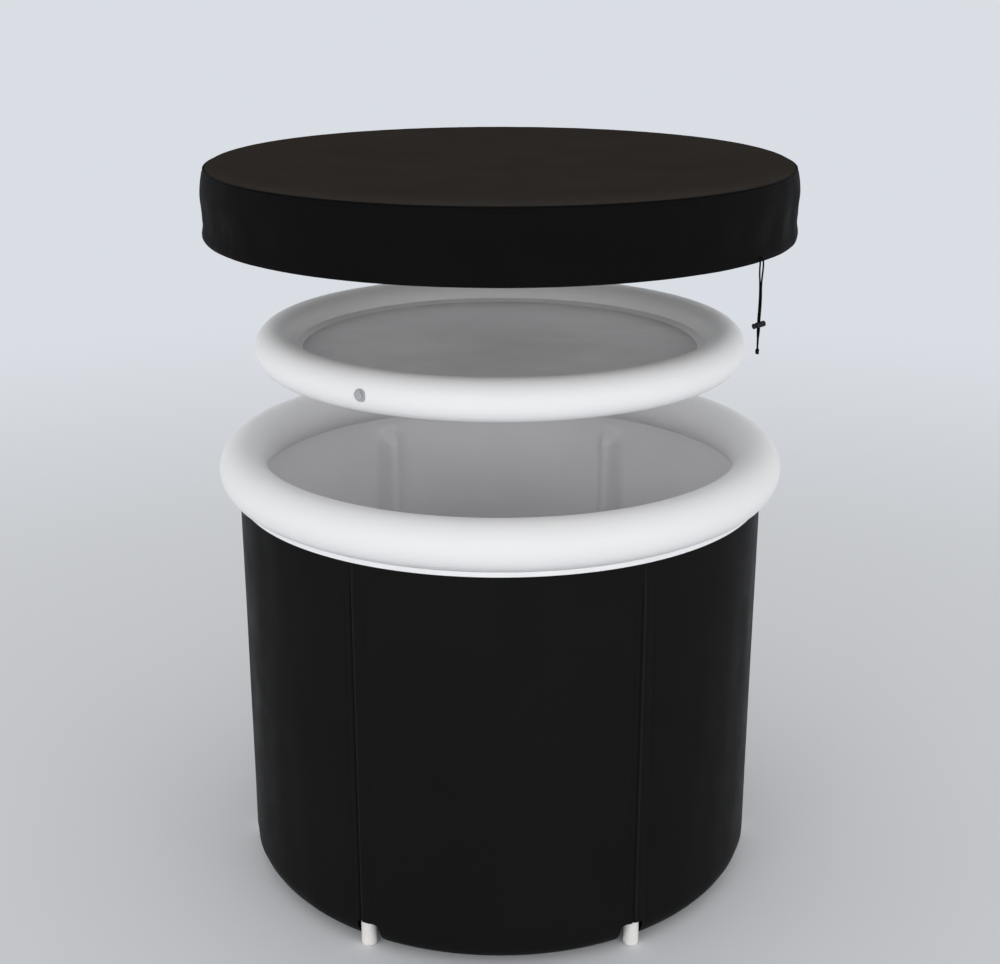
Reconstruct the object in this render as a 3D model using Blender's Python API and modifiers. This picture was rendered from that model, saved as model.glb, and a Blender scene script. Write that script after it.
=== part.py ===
"""Round inflatable bathtub with support rods, an inflatable lid and a drawstring cover.

Lengths are in metres and angles in degrees. +Z is up, the front faces -Y, and the origin lies on the floor
under the middle of the tub. The lid and the cover are drawn lifted off the tub, as far as their lifts say.
"""

import math

import bmesh
import bpy
from mathutils import Matrix, Vector

PARTS = "inflatable_bathtub"
CUTTERS = "cutters"

# Clearances shared by all pieces
GAP = 0.0003
OVERRUN = 0.004
MERGE = 0.00001
SHARP_ANGLE = 40.0

# Round shells share their columns, so that the gaps between them stay even
COLUMNS = 48
TUBE_SIDES = 12

# Tub: overall sizes
TUB_HEIGHT = 0.750
RIM_RADIUS = 0.430
RIM_TUBE = 0.039
RIM_FILM = 0.0010
WALL_OUTSET = 0.0074
BASE_ROUNDING = 0.0388
ROUNDING_STEPS = 3

# Tub: layers of the wall and the base, from the outside in
OUTER_CLOTH = 0.0012
FOAM = 0.0060
LINER = 0.0008
FOAM_START = 0.0062
FLANGE_CLOTH = 0.0012
FLANGE_LEG = 0.0080

# Support rods, their sleeves and the notches that show their feet
ROD_COUNT = 6
ROD_SIDES = 10
ROD_RADIUS = 0.0125
ROD_WALL = 0.0020
ROD_BACK_EASE = 0.0012
ROD_TOP_DROP = 0.0552
FOOT_HEIGHT = 0.0200
FOOT_ROUNDING = 0.0035
PLUG_DOME = 0.0030
PLUG_DOME_SHARE = 0.6
SHANK_LENGTH = 0.0150
POCKET_CLOTH = 0.0008
POCKET_WING = 0.0150
POCKET_START = 0.0050
POCKET_STEPS = 3
RIDGE_RISE = 0.0055
RIDGE_FADE = 0.0150
NOTCH_NEAR = 0.0005
NOTCH_FAR = 0.0155
NOTCH_HEIGHT = 0.0460
NOTCH_CORNER = 0.0060
NOTCH_CORNER_STEPS = 2

# Drain, low in the back of the wall, in the middle of one flat of the wall
DRAIN_COLUMN_SHARE = 12.5
DRAIN_SIDES = 16
DRAIN_HEIGHT = 0.0750
BARREL_RADIUS = 0.0100
BARREL_WALL = 0.0025
BARREL_REACH = 0.0140
DRAIN_FLANGE_RADIUS = 0.0200
DRAIN_FLANGE = 0.0025
GASKET = 0.0015
GASKET_INSET = 0.0020
NUT = 0.0050
NUT_RADIUS = 0.0150
CAP_WALL = 0.0020
STOPPER_DEPTH = 0.0080
STOPPER_HEAD = 0.0020
STOPPER_HEAD_LIP = 0.0035
STOPPER_KNOB = 0.0050
STOPPER_KNOB_RADIUS = 0.0040

# Air valves of the rim ring and of the lid ring
VALVE_SIDES = 16
VALVE_RADIUS = 0.0095
VALVE_PROUD = 0.0010
VALVE_DEPTH = 0.0060
VALVE_BORE = 0.0037
VALVE_CHAMFER = 0.0005
PLUG_RADIUS = 0.0055
PLUG_HEAD = 0.0016
STUB_RADIUS = 0.0030
STUB_LENGTH = 0.0030
STRAP = 0.0008
STRAP_WIDTH = 0.0036
HINGE_REACH = 0.0086
HINGE_BARREL = 0.0007
HINGE_WIDTH = 0.0044
RIM_VALVE_TURN = 105.0
RIM_VALVE_PITCH = -45.0
LID_VALVE_TURN = -120.5

# Lid: its ring seats on the inner shoulder of the rim ring
LID_TUBE = 0.0327
LID_FILM = 0.0010
LID_SEAT_ANGLE = 33.2
LID_LIFT = 0.1612
SHEET_CLOTH = 0.0010
SHEET_DROP = 0.0050
WELD_BAND = 0.0120

# Cover: it drops over the lid ring and the rim ring
COVER_LIFT = 0.2625
COVER_EASE = 0.0015
COVER_CLOTH = 0.0012
COVER_DROP = 0.1040
PIPING_RADIUS = 0.0020
PIPING_INSET = 0.0037
SHOULDER_INSET = 0.0018
SHOULDER_FALL = 0.0050
CROWN_OUTSET = 0.0028
CROWN_FALL = 0.0170
SKIRT_INSET = 0.0013
WAIST_FALL = 0.0420
PUCKER_FALL = 0.0800
PUCKER = 0.0011
PUCKER_SHARES = (0.0, 0.5, 1.0, 0.4, 0.0, 0.3, 0.8, 0.3)
HEM_THICKNESS = 0.0040
HEM_HEIGHT = 0.0130
HEM_SHOULDER = 0.0025

# Drawcord, with its two free strands, its lock and its end knot
CORD_RADIUS = 0.00125
CORD_EXIT_TURN = -37.5
CORD_EXIT_SPREAD = 0.0027
CORD_POINT_SPACING = 0.0062
SMOOTH_STEPS = 20
CORD_TURN_IN = 0.0030
LEFT_STRAND = (
    (-0.0027, 0.0003, 0.0000),
    (-0.0027, 0.0014, 0.0001),
    (-0.0030, 0.0030, 0.0024),
    (-0.0035, 0.0036, 0.0085),
    (-0.0038, 0.0036, 0.0165),
    (-0.0034, 0.0037, 0.0245),
    (-0.0023, 0.0039, 0.0330),
    (-0.0019, 0.0043, 0.0450),
    (-0.0019, 0.0046, 0.0570),
    (-0.0023, 0.0047, 0.0690),
    (-0.0030, 0.0048, 0.0800),
    (-0.0036, 0.0048, 0.0895),
    (-0.0036, 0.0048, 0.0985),
    (-0.0036, 0.0048, 0.1075),
    (-0.0038, 0.0048, 0.1195),
    (-0.0038, 0.0048, 0.1334),
)
RIGHT_STRAND = (
    (0.0027, 0.0003, 0.0000),
    (0.0027, 0.0014, 0.0000),
    (0.0029, 0.0042, 0.0018),
    (0.0030, 0.0053, 0.0070),
    (0.0029, 0.0055, 0.0140),
    (0.0021, 0.0054, 0.0225),
    (0.0008, 0.0053, 0.0330),
    (0.0010, 0.0051, 0.0450),
    (0.0010, 0.0056, 0.0570),
    (0.0005, 0.0059, 0.0690),
    (-0.0004, 0.0061, 0.0800),
    (-0.0012, 0.0062, 0.0895),
    (-0.0012, 0.0062, 0.0985),
    (-0.0012, 0.0062, 0.1075),
    (-0.0013, 0.0062, 0.1195),
    (-0.0013, 0.0062, 0.1334),
)
LOCK_PLACE = (-0.0024, 0.0055, 0.0985)
LOCK_TURN = 30.0
LOCK_TILT = 10.5
LOCK_SIDES = 12
LOCK_RADIUS = 0.00425
LOCK_WALL = 0.00125
LOCK_END_WALL = 0.0012
LOCK_TRAVEL = 0.0020
STRAND_SPACING = 0.0028
PLUNGER_END = 0.0015
LOCK_MOUTH = 0.0012
SPRING_SPACE = 0.0024
BUTTON_NECK = 0.0024
BUTTON_HEAD = 0.0030
SPRING_WIRE = 0.00025
SPRING_TURNS = 3
SPRING_POINTS = 10
KNOT_PLACE = (-0.00255, 0.0055, 0.1337)
KNOT_RADIUS = 0.0030
KNOT_HEIGHT = 0.0096

# Sizes that follow from the ones above
RIM_HEIGHT = TUB_HEIGHT - RIM_TUBE
WALL_RADIUS = RIM_RADIUS + WALL_OUTSET
BASE_EDGE = WALL_RADIUS - BASE_ROUNDING
FLANGE_TOP = RIM_HEIGHT - RIM_TUBE - GAP
WALL_TOP = FLANGE_TOP - FLANGE_CLOTH - GAP
FOAM_OFFSET = OUTER_CLOTH + GAP
LINER_OFFSET = FOAM_OFFSET + FOAM + GAP
LINER_FACE = LINER_OFFSET + LINER
HALF_COLUMN = math.pi / COLUMNS
COLUMNS_PER_ROD = COLUMNS // ROD_COUNT
ROD_PLACE = WALL_RADIUS - OUTER_CLOTH - ROD_BACK_EASE - ROD_RADIUS
ROD_TOP = WALL_TOP - ROD_TOP_DROP
SHANK_RADIUS = ROD_RADIUS - ROD_WALL - GAP
POCKET_INNER = (ROD_RADIUS + GAP) / math.cos(math.pi / 4 / POCKET_STEPS)
POCKET_OUTER = POCKET_INNER + POCKET_CLOTH
RIDGE_TOP = ROD_TOP + RIDGE_RISE
RIDGE_END = WALL_TOP - RIDGE_FADE
LID_REACH = RIM_TUBE + LID_TUBE + GAP
LID_RADIUS = RIM_RADIUS - LID_REACH * math.cos(math.radians(LID_SEAT_ANGLE))
LID_HEIGHT = RIM_HEIGHT + LID_REACH * math.sin(math.radians(LID_SEAT_ANGLE)) + LID_LIFT
SHEET_RADIUS = LID_RADIUS - LID_TUBE - WELD_BAND
COVER_HEIGHT = LID_HEIGHT + LID_TUBE + COVER_LIFT
HEM_INNER = RIM_RADIUS + RIM_TUBE + COVER_EASE
HEM_RADIUS = HEM_INNER + HEM_THICKNESS / 2
HEM_OUTER = HEM_INNER + HEM_THICKNESS
SKIRT_INNER = HEM_INNER + SKIRT_INSET
TUNNEL_RADIUS = CORD_RADIUS + GAP
BORE_SLOT_HALF = STRAND_SPACING / 2 + CORD_RADIUS + GAP
BODY_BORE = LOCK_RADIUS - LOCK_WALL
PLUNGER_RADIUS = BODY_BORE - GAP


def link(obj, group=PARTS, parent=None):
    """Puts an object into one collection only, under a parent."""
    for holder in list(obj.users_collection):
        holder.objects.unlink(obj)
    bpy.data.collections[group].objects.link(obj)
    obj.parent = parent
    return obj


def guide(name, place, parent=None):
    """An empty that carries the pieces of one moving body."""
    empty = link(bpy.data.objects.new(name, None), parent=parent)
    empty.location = place
    return empty


def hide(obj):
    """Marks an object as a cutter."""
    link(obj, CUTTERS, obj.parent)
    obj.hide_render = True
    obj.display_type = "WIRE"
    return obj


def paint(obj, colour, roughness, metallic=0.0):
    material = bpy.data.materials.new(obj.name)
    material.use_nodes = True
    shader = material.node_tree.nodes["Principled BSDF"]
    shader.inputs["Base Color"].default_value = (*colour, 1.0)
    shader.inputs["Roughness"].default_value = roughness
    shader.inputs["Metallic"].default_value = metallic
    obj.data.materials.append(material)
    return obj


def turned(name, outlines, sides, closed=True, parent=None):
    """A solid turned about local Z. Its first outline runs down the outside, a second one round a tunnel."""
    bm = bmesh.new()
    for outline in outlines:
        verts = [bm.verts.new((radius, 0, height)) for radius, height in outline]
        for a, b in zip(verts, verts[1:]):
            bm.edges.new((a, b))
        if closed:
            bm.edges.new((verts[-1], verts[0]))
    mesh = bpy.data.meshes.new(name)
    bm.to_mesh(mesh)
    bm.free()
    obj = link(bpy.data.objects.new(name, mesh), parent=parent)
    screw = obj.modifiers.new("Turn", "SCREW")
    screw.steps = sides
    screw.render_steps = sides
    screw.use_merge_vertices = True
    screw.merge_threshold = MERGE
    screw.use_smooth_shade = True
    return obj


def lofted(name, rings, parent=None):
    """A closed skin through rings of equal count, the last one joined to the first. One point is a pole."""
    bm = bmesh.new()
    rows = [[bm.verts.new(point) for point in ring] for ring in rings]
    for above, below in zip(rows, rows[1:] + rows[:1]):
        for i in range(max(len(above), len(below))):
            ends = (above[i % len(above)], above[(i + 1) % len(above)])
            starts = (below[(i + 1) % len(below)], below[i % len(below)])
            corners = list(dict.fromkeys(ends + starts))
            if len(corners) > 2:
                bm.faces.new(corners)
    bmesh.ops.recalc_face_normals(bm, faces=bm.faces)
    bmesh.ops.triangulate(bm, faces=bm.faces, quad_method="SHORT_EDGE")
    mesh = bpy.data.meshes.new(name)
    bm.to_mesh(mesh)
    bm.free()
    mesh.shade_smooth()
    mesh.set_sharp_from_angle(angle=math.radians(SHARP_ANGLE))
    return link(bpy.data.objects.new(name, mesh), parent=parent)


def ring_tube(name, radius, tube, film=0.0, sides=TUBE_SIDES, parent=None):
    """A round tube bent to a ring; with a film thickness it is hollow."""
    bpy.ops.mesh.primitive_torus_add(
        major_segments=COLUMNS, minor_segments=sides, major_radius=radius, minor_radius=tube
    )
    obj = link(bpy.context.object, parent=parent)
    obj.name = name
    obj.data.shade_smooth()
    if film:
        wall = obj.modifiers.new("Film", "SOLIDIFY")
        wall.thickness = film
        wall.offset = -1
        wall.use_even_offset = True
    return obj


def disc(name, radius, thickness, base, parent=None):
    """A flat round sheet whose underside lies at the base height."""
    bpy.ops.mesh.primitive_cylinder_add(
        vertices=COLUMNS, radius=radius, depth=thickness, location=(0, 0, base + thickness / 2)
    )
    obj = link(bpy.context.object, parent=parent)
    obj.name = name
    return obj


def round_cutter(name, radius, low, high, sides, frame, parent=None):
    """A cylinder cutter along local Z of the frame, from low to high."""
    bpy.ops.mesh.primitive_cylinder_add(vertices=sides, radius=radius, depth=high - low)
    obj = hide(link(bpy.context.object, parent=parent))
    obj.name = name
    obj.matrix_local = frame @ Matrix.Translation((0, 0, (low + high) / 2))
    return obj


def block(name, low, high):
    """A box between two corners, with its own mesh."""
    bm = bmesh.new()
    bmesh.ops.create_cube(bm, size=1)
    low, high = Vector(low), Vector(high)
    bmesh.ops.scale(bm, vec=high - low, verts=bm.verts)
    bmesh.ops.translate(bm, vec=(low + high) / 2, verts=bm.verts)
    mesh = bpy.data.meshes.new(name)
    bm.to_mesh(mesh)
    bm.free()
    return bpy.data.objects.new(name, mesh)


def combine(target, other, operation="DIFFERENCE"):
    """Cuts another object from the target, or joins it on."""
    step = target.modifiers.new(other.name, "BOOLEAN")
    step.operation = operation
    step.solver = "EXACT"
    step.object = other


def frame_of(origin, outward, up):
    """A frame at the origin whose Z points outward and whose Y points up."""
    side = up.cross(outward)
    columns = Matrix((side, up, outward)).transposed()
    return Matrix.Translation(origin) @ columns.to_4x4()


def around(turn):
    """The unit vector that points away from the Z axis at this turn from +X."""
    angle = math.radians(turn)
    return Vector((math.cos(angle), math.sin(angle), 0))


def tube_curve(name, points, radius, fineness, parent=None):
    """A tube with filled caps along a polyline."""
    curve = bpy.data.curves.new(name, "CURVE")
    curve.dimensions = "3D"
    spline = curve.splines.new("POLY")
    spline.points.add(len(points) - 1)
    for slot, point in zip(spline.points, points):
        slot.co = (*point, 1)
    curve.bevel_depth = radius
    curve.bevel_resolution = fineness
    curve.use_fill_caps = True
    return link(bpy.data.objects.new(name, curve), parent=parent)


def layer_section(offset, top):
    """Half section of a wall layer, this far inside the outer face, from its top edge to the base edge."""
    rounding = BASE_ROUNDING - offset
    points = [(WALL_RADIUS - offset, top)]
    for step in range(ROUNDING_STEPS + 1):
        angle = math.pi / 2 * step / ROUNDING_STEPS
        radius = BASE_EDGE + rounding * math.cos(angle)
        points.append((radius, BASE_ROUNDING - rounding * math.sin(angle)))
    return points


def tent_depth():
    """How far the foam's outer face is pulled in at a rod, so that its two slopes just clear the sleeve."""
    clear = POCKET_OUTER + GAP
    face = WALL_RADIUS - FOAM_OFFSET
    run = face * math.sin(2 * HALF_COLUMN)
    rise = face * math.cos(2 * HALF_COLUMN) - ROD_PLACE
    reach = math.sqrt(run**2 + rise**2 - clear**2)
    apex = clear * (clear * rise + run * reach) / (run**2 - clear**2)
    return face - ROD_PLACE + apex


def tented_ring(radius, height, depth):
    """A ring of the wall, pulled in by the depth at each rod."""
    ring = []
    for column in range(COLUMNS):
        angle = 2 * HALF_COLUMN * column
        pulled = radius if column % COLUMNS_PER_ROD else radius - depth
        ring.append(Vector((pulled * math.cos(angle), pulled * math.sin(angle), height)))
    return ring


def tented_face(offset, bottom):
    """The rings of one face of a tented layer, from the wall's top down to the bottom height."""
    face = WALL_RADIUS - offset
    depth = tent_depth()
    rows = [(face, WALL_TOP, 0), (face, RIDGE_END, 0), (face, RIDGE_TOP, depth), (face, bottom, depth)]
    return [tented_ring(*row) for row in rows]


def floor_face(offset):
    """The rings of one face of the liner's rounding and floor, below its straight wall."""
    rings = []
    face = WALL_RADIUS - offset
    for radius, height in layer_section(offset, WALL_TOP)[2:]:
        share = (radius - BASE_EDGE) / (face - BASE_EDGE)
        rings.append(tented_ring(radius, height, share * tent_depth()))
    return rings + [[Vector((0, 0, offset))]]


def rod_frame(index):
    """Frame of a support rod: Z up its axis, X away from the middle of the tub, Y round the wall."""
    turn = math.tau * index / ROD_COUNT
    return Matrix.Rotation(turn, 4, "Z") @ Matrix.Translation((ROD_PLACE, 0, 0))


def notch_cutter(index):
    """Cutter for the notch at a rod's foot. It opens towards the neighbour that shares the rod's panel."""
    near = ROD_RADIUS + NOTCH_NEAR
    far = ROD_RADIUS + NOTCH_FAR
    sides = (-near, far) if index % 2 == 0 else (-far, near)
    depth = ROD_PLACE - BASE_EDGE + OVERRUN
    front = WALL_RADIUS - ROD_PLACE + OVERRUN
    box = block(f"notch_{index + 1}", (-depth, sides[0], -OVERRUN), (front, sides[1], NOTCH_HEIGHT))
    bm = bmesh.new()
    bm.from_mesh(box.data)
    upper = [e for e in bm.edges if min(v.co.z for v in e.verts) > 0]
    corners = [e for e in upper if abs(e.verts[0].co.x - e.verts[1].co.x) > front]
    bmesh.ops.bevel(
        bm, geom=corners, offset=NOTCH_CORNER, segments=NOTCH_CORNER_STEPS, profile=0.5, affect="EDGES"
    )
    bm.to_mesh(box.data)
    bm.free()
    box.matrix_world = rod_frame(index)
    return hide(box)


def drain_frame():
    """Frame of the drain: Z out of the wall, with the wall's outer face at zero."""
    outward = around(DRAIN_COLUMN_SHARE * 360 / COLUMNS)
    place = outward * WALL_RADIUS * math.cos(HALF_COLUMN) + Vector((0, 0, DRAIN_HEIGHT))
    return frame_of(place, outward, Vector((0, 0, 1)))


def make_wall():
    """The laminate of the tub's wall and base."""
    outline = layer_section(0, WALL_TOP) + layer_section(OUTER_CLOTH, WALL_TOP)[::-1]
    outer_wall = paint(turned("outer_wall", [outline], COLUMNS), (0.028, 0.028, 0.030), 0.45)
    foam_bottom = BASE_ROUNDING + FOAM_START
    foam_rings = tented_face(FOAM_OFFSET, foam_bottom) + tented_face(FOAM_OFFSET + FOAM, foam_bottom)[::-1]
    wall_foam = paint(lofted("wall_foam", foam_rings), (0.75, 0.75, 0.73), 0.9)
    outer = tented_face(LINER_OFFSET, BASE_ROUNDING) + floor_face(LINER_OFFSET)
    inner = tented_face(LINER_FACE, BASE_ROUNDING) + floor_face(LINER_FACE)
    inner_liner = paint(lofted("inner_liner", outer + inner[::-1]), (0.46, 0.45, 0.49), 0.5)
    base_radius = BASE_EDGE - GAP
    paint(disc("base_panel", base_radius, OUTER_CLOTH, 0), (0.03, 0.03, 0.03), 0.6)
    paint(disc("base_foam", base_radius, FOAM, FOAM_OFFSET), (0.75, 0.75, 0.73), 0.9)
    low = -LINER_FACE - OVERRUN
    hole = round_cutter("drain_hole", BARREL_RADIUS + GAP, low, OVERRUN, DRAIN_SIDES, drain_frame())
    for layer in (outer_wall, wall_foam, inner_liner):
        combine(layer, hole)
    for index in range(ROD_COUNT):
        combine(outer_wall, notch_cutter(index))


def make_rim():
    """The rim ring, and the welded band that caps the wall under it."""
    ring = paint(ring_tube("rim_ring", RIM_RADIUS, RIM_TUBE, RIM_FILM), (0.80, 0.80, 0.80), 0.35)
    ring.location.z = RIM_HEIGHT
    outer = WALL_RADIUS + GAP + FLANGE_CLOTH
    inner = WALL_RADIUS - LINER_FACE - GAP - FLANGE_CLOTH
    low = FLANGE_TOP - FLANGE_LEG
    web = FLANGE_TOP - FLANGE_CLOTH
    outline = [(outer, FLANGE_TOP), (outer, low), (outer - FLANGE_CLOTH, low), (outer - FLANGE_CLOTH, web)]
    outline += [(inner + FLANGE_CLOTH, web), (inner + FLANGE_CLOTH, low), (inner, low), (inner, FLANGE_TOP)]
    paint(turned("rim_flange", [outline], COLUMNS), (0.78, 0.78, 0.78), 0.4)
    turn = around(RIM_VALVE_TURN)
    pitch = math.radians(RIM_VALVE_PITCH)
    outward = turn * math.cos(pitch) + Vector((0, 0, math.sin(pitch)))
    up = Vector((0, 0, math.cos(pitch))) - turn * math.sin(pitch)
    place = turn * RIM_RADIUS + outward * RIM_TUBE + Vector((0, 0, RIM_HEIGHT))
    make_valve("rim", ring, frame_of(place, outward, up))


def make_rods():
    """Six support rods, each a tube with a foot and a top plug, in a sleeve behind the outer wall."""
    tube_low = FOOT_HEIGHT + GAP
    bore = ROD_RADIUS - ROD_WALL
    tube = [(ROD_RADIUS, ROD_TOP), (ROD_RADIUS, tube_low), (bore, tube_low), (bore, ROD_TOP)]
    foot = [(0, FOOT_HEIGHT + SHANK_LENGTH), (SHANK_RADIUS, FOOT_HEIGHT + SHANK_LENGTH)]
    foot += [(SHANK_RADIUS, FOOT_HEIGHT), (ROD_RADIUS, FOOT_HEIGHT), (ROD_RADIUS, FOOT_ROUNDING)]
    edge = FOOT_ROUNDING * (1 - math.sqrt(0.5))
    foot += [(ROD_RADIUS - edge, edge), (ROD_RADIUS - FOOT_ROUNDING, 0), (0, 0)]
    plug_low = ROD_TOP + GAP
    dome = plug_low + PLUG_DOME
    plug = [(0, dome), (ROD_RADIUS * PLUG_DOME_SHARE, dome), (ROD_RADIUS, plug_low), (SHANK_RADIUS, plug_low)]
    plug += [(SHANK_RADIUS, ROD_TOP - SHANK_LENGTH), (0, ROD_TOP - SHANK_LENGTH)]
    for index in range(ROD_COUNT):
        frame = rod_frame(index)
        pieces = [
            paint(turned(f"rod_tube_{index + 1}", [tube], ROD_SIDES), (0.55, 0.55, 0.55), 0.5),
            paint(turned(f"rod_foot_{index + 1}", [foot], ROD_SIDES, False), (0.75, 0.75, 0.75), 0.4),
            paint(turned(f"rod_top_plug_{index + 1}", [plug], ROD_SIDES, False), (0.75, 0.75, 0.75), 0.4),
            make_pocket(index),
        ]
        for piece in pieces:
            piece.matrix_world = frame @ piece.matrix_world


def pocket_side(face, radius):
    """Half the outline of one face of a sleeve: its wing, its straight side and its bend round the rod."""
    slope = math.tan(HALF_COLUMN)
    tip = POCKET_OUTER + POCKET_WING
    side = [(face - slope * tip, tip), (face - slope * radius, radius)]
    for step in range(POCKET_STEPS):
        angle = math.pi / 2 * (1 + step / POCKET_STEPS)
        side.append((radius * math.cos(angle), radius * math.sin(angle)))
    return side


def make_pocket(index):
    """Sleeve of one rod: a folded strip with a wing on each side against the outer wall."""
    wall_face = WALL_RADIUS - OUTER_CLOTH - GAP - ROD_PLACE
    outer_side = pocket_side(wall_face, POCKET_INNER)
    inner_side = pocket_side(wall_face - POCKET_CLOTH, POCKET_OUTER)
    outline = outer_side + [(-POCKET_INNER, 0)] + [(x, -y) for x, y in outer_side[::-1]]
    outline += [(x, -y) for x, y in inner_side] + [(-POCKET_OUTER, 0)] + inner_side[::-1]
    low = BASE_ROUNDING + POCKET_START
    curve = bpy.data.curves.new(f"rod_pocket_{index + 1}", "CURVE")
    curve.dimensions = "2D"
    curve.fill_mode = "BOTH"
    curve.extrude = (ROD_TOP - low) / 2
    spline = curve.splines.new("POLY")
    spline.points.add(len(outline) - 1)
    for slot, (x, y) in zip(spline.points, outline):
        slot.co = (x, y, 0, 1)
    spline.use_cyclic_u = True
    obj = link(bpy.data.objects.new(curve.name, curve))
    obj.matrix_world = Matrix.Translation((0, 0, (ROD_TOP + low) / 2))
    return paint(obj, (0.04, 0.04, 0.04), 0.7)


def make_drain():
    """The drain: a flanged barrel through the wall, a gasket, a nut, a cap outside and a stopper inside."""
    frame = drain_frame()
    liner_face = -LINER_FACE * math.cos(HALF_COLUMN) - GAP
    gasket_in = liner_face - GASKET
    flange_out = gasket_in - GAP
    flange_in = flange_out - DRAIN_FLANGE
    bore = BARREL_RADIUS - BARREL_WALL
    barrel = [(BARREL_RADIUS, BARREL_REACH), (BARREL_RADIUS, flange_out), (DRAIN_FLANGE_RADIUS, flange_out)]
    barrel += [(DRAIN_FLANGE_RADIUS, flange_in), (bore, flange_in), (bore, BARREL_REACH)]
    drain_flange = turned("drain_flange", [barrel], DRAIN_SIDES)
    around_barrel = BARREL_RADIUS + GAP
    gasket_radius = DRAIN_FLANGE_RADIUS - GASKET_INSET
    gasket = [(gasket_radius, liner_face), (gasket_radius, gasket_in), (around_barrel, gasket_in)]
    drain_gasket = turned("drain_gasket", [gasket + [(around_barrel, liner_face)]], DRAIN_SIDES)
    nut_top = GAP + NUT
    nut = [(NUT_RADIUS, nut_top), (NUT_RADIUS, GAP), (around_barrel, GAP), (around_barrel, nut_top)]
    drain_nut = turned("drain_nut", [nut], DRAIN_SIDES)
    for piece, colour in ((drain_flange, 0.05), (drain_gasket, 0.02), (drain_nut, 0.05)):
        paint(piece, (colour, colour, colour), 0.5).matrix_world = frame
    seat = BARREL_REACH + GAP
    cap_low = nut_top + GAP
    cap_radius = around_barrel + CAP_WALL
    cap = [(0, seat + CAP_WALL), (cap_radius, seat + CAP_WALL), (cap_radius, cap_low)]
    cap += [(around_barrel, cap_low), (around_barrel, seat), (0, seat)]
    drain_cap = turned("drain_cap", [cap], DRAIN_SIDES, False)
    paint(drain_cap, (0.05, 0.05, 0.05), 0.5).matrix_world = frame
    plug = bore - GAP
    head_out = flange_in - GAP
    head_in = head_out - STOPPER_HEAD
    head = bore + STOPPER_HEAD_LIP
    tip = head_out + STOPPER_DEPTH
    stopper = [(0, tip), (plug, tip), (plug, head_out), (head, head_out), (head, head_in)]
    stopper += [(STOPPER_KNOB_RADIUS, head_in), (STOPPER_KNOB_RADIUS, head_in - STOPPER_KNOB)]
    drain_stopper = turned("drain_stopper", [stopper + [(0, head_in - STOPPER_KNOB)]], DRAIN_SIDES, False)
    paint(drain_stopper, (0.02, 0.02, 0.02), 0.6).matrix_world = frame


def make_valve(prefix, ring, frame, parent=None):
    """An air valve set into a ring: a body with a bore, and a plug on a strap hinged at its upper side."""
    rim = VALVE_RADIUS - VALVE_CHAMFER
    body = [(rim, VALVE_PROUD), (VALVE_RADIUS, VALVE_PROUD - VALVE_CHAMFER), (VALVE_RADIUS, -VALVE_DEPTH)]
    body += [(VALVE_BORE, -VALVE_DEPTH), (VALVE_BORE, VALVE_PROUD)]
    valve = turned(f"{prefix}_valve_body", [body], VALVE_SIDES, parent=parent)
    paint(valve, (0.70, 0.71, 0.72), 0.3).matrix_local = frame
    low = -VALVE_DEPTH - OVERRUN
    seat_radius = VALVE_RADIUS + GAP
    combine(ring, round_cutter(f"{prefix}_seat", seat_radius, low, 2 * OVERRUN, VALVE_SIDES, frame, parent))
    seat = VALVE_PROUD + GAP
    hinge = frame @ Matrix.Translation((0, HINGE_REACH, seat + HINGE_BARREL))
    shift = Matrix.Translation((0, -HINGE_REACH, -HINGE_BARREL))
    edge = PLUG_HEAD - VALVE_CHAMFER
    outline = [(0, PLUG_HEAD), (PLUG_RADIUS - VALVE_CHAMFER, PLUG_HEAD), (PLUG_RADIUS, edge)]
    outline += [(PLUG_RADIUS, 0), (STUB_RADIUS, 0), (STUB_RADIUS, -STUB_LENGTH), (0, -STUB_LENGTH)]
    head = hide(turned(f"{prefix}_plug_head", [outline], VALVE_SIDES, False, parent))
    head.matrix_local = hinge @ shift
    half = STRAP_WIDTH / 2
    strap = block(f"{prefix}_valve_plug", (-half, PLUG_RADIUS / 2 - HINGE_REACH, 0), (half, 0, STRAP))
    strap.data.transform(Matrix.Translation((0, 0, -HINGE_BARREL)))
    link(strap, parent=parent)
    strap.matrix_local = hinge
    along_hinge = hinge @ Matrix.Rotation(math.pi / 2, 4, "Y")
    ends = HINGE_WIDTH / 2
    sides = VALVE_SIDES // 2
    barrel = round_cutter(f"{prefix}_hinge_barrel", HINGE_BARREL, -ends, ends, sides, along_hinge, parent)
    combine(strap, head, "UNION")
    combine(strap, barrel, "UNION")
    paint(strap, (0.72, 0.73, 0.74), 0.3)


def make_lid():
    """The inflatable lid: a ring, a sheet across it and the welded band between the two."""
    lid = guide("lid_guide", (0, 0, LID_HEIGHT))
    ring = ring_tube("lid_ring", LID_RADIUS, LID_TUBE, LID_FILM, parent=lid)
    paint(ring, (0.80, 0.80, 0.80), 0.35)
    low = -SHEET_DROP - SHEET_CLOTH / 2
    paint(disc("lid_disc", SHEET_RADIUS, SHEET_CLOTH, low, lid), (0.27, 0.27, 0.28), 0.45)
    outer = LID_RADIUS - LID_TUBE - GAP
    inner = SHEET_RADIUS + GAP
    band = [(outer, SHEET_CLOTH / 2), (outer, -SHEET_CLOTH / 2), (inner, low), (inner, low + SHEET_CLOTH)]
    paint(turned("lid_weld_band", [band], COLUMNS, parent=lid), (0.60, 0.60, 0.61), 0.4)
    outward = around(LID_VALVE_TURN)
    place = outward * (LID_RADIUS + LID_TUBE)
    make_valve("lid", ring, frame_of(place, outward, Vector((0, 0, 1))), lid)
    return lid


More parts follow.
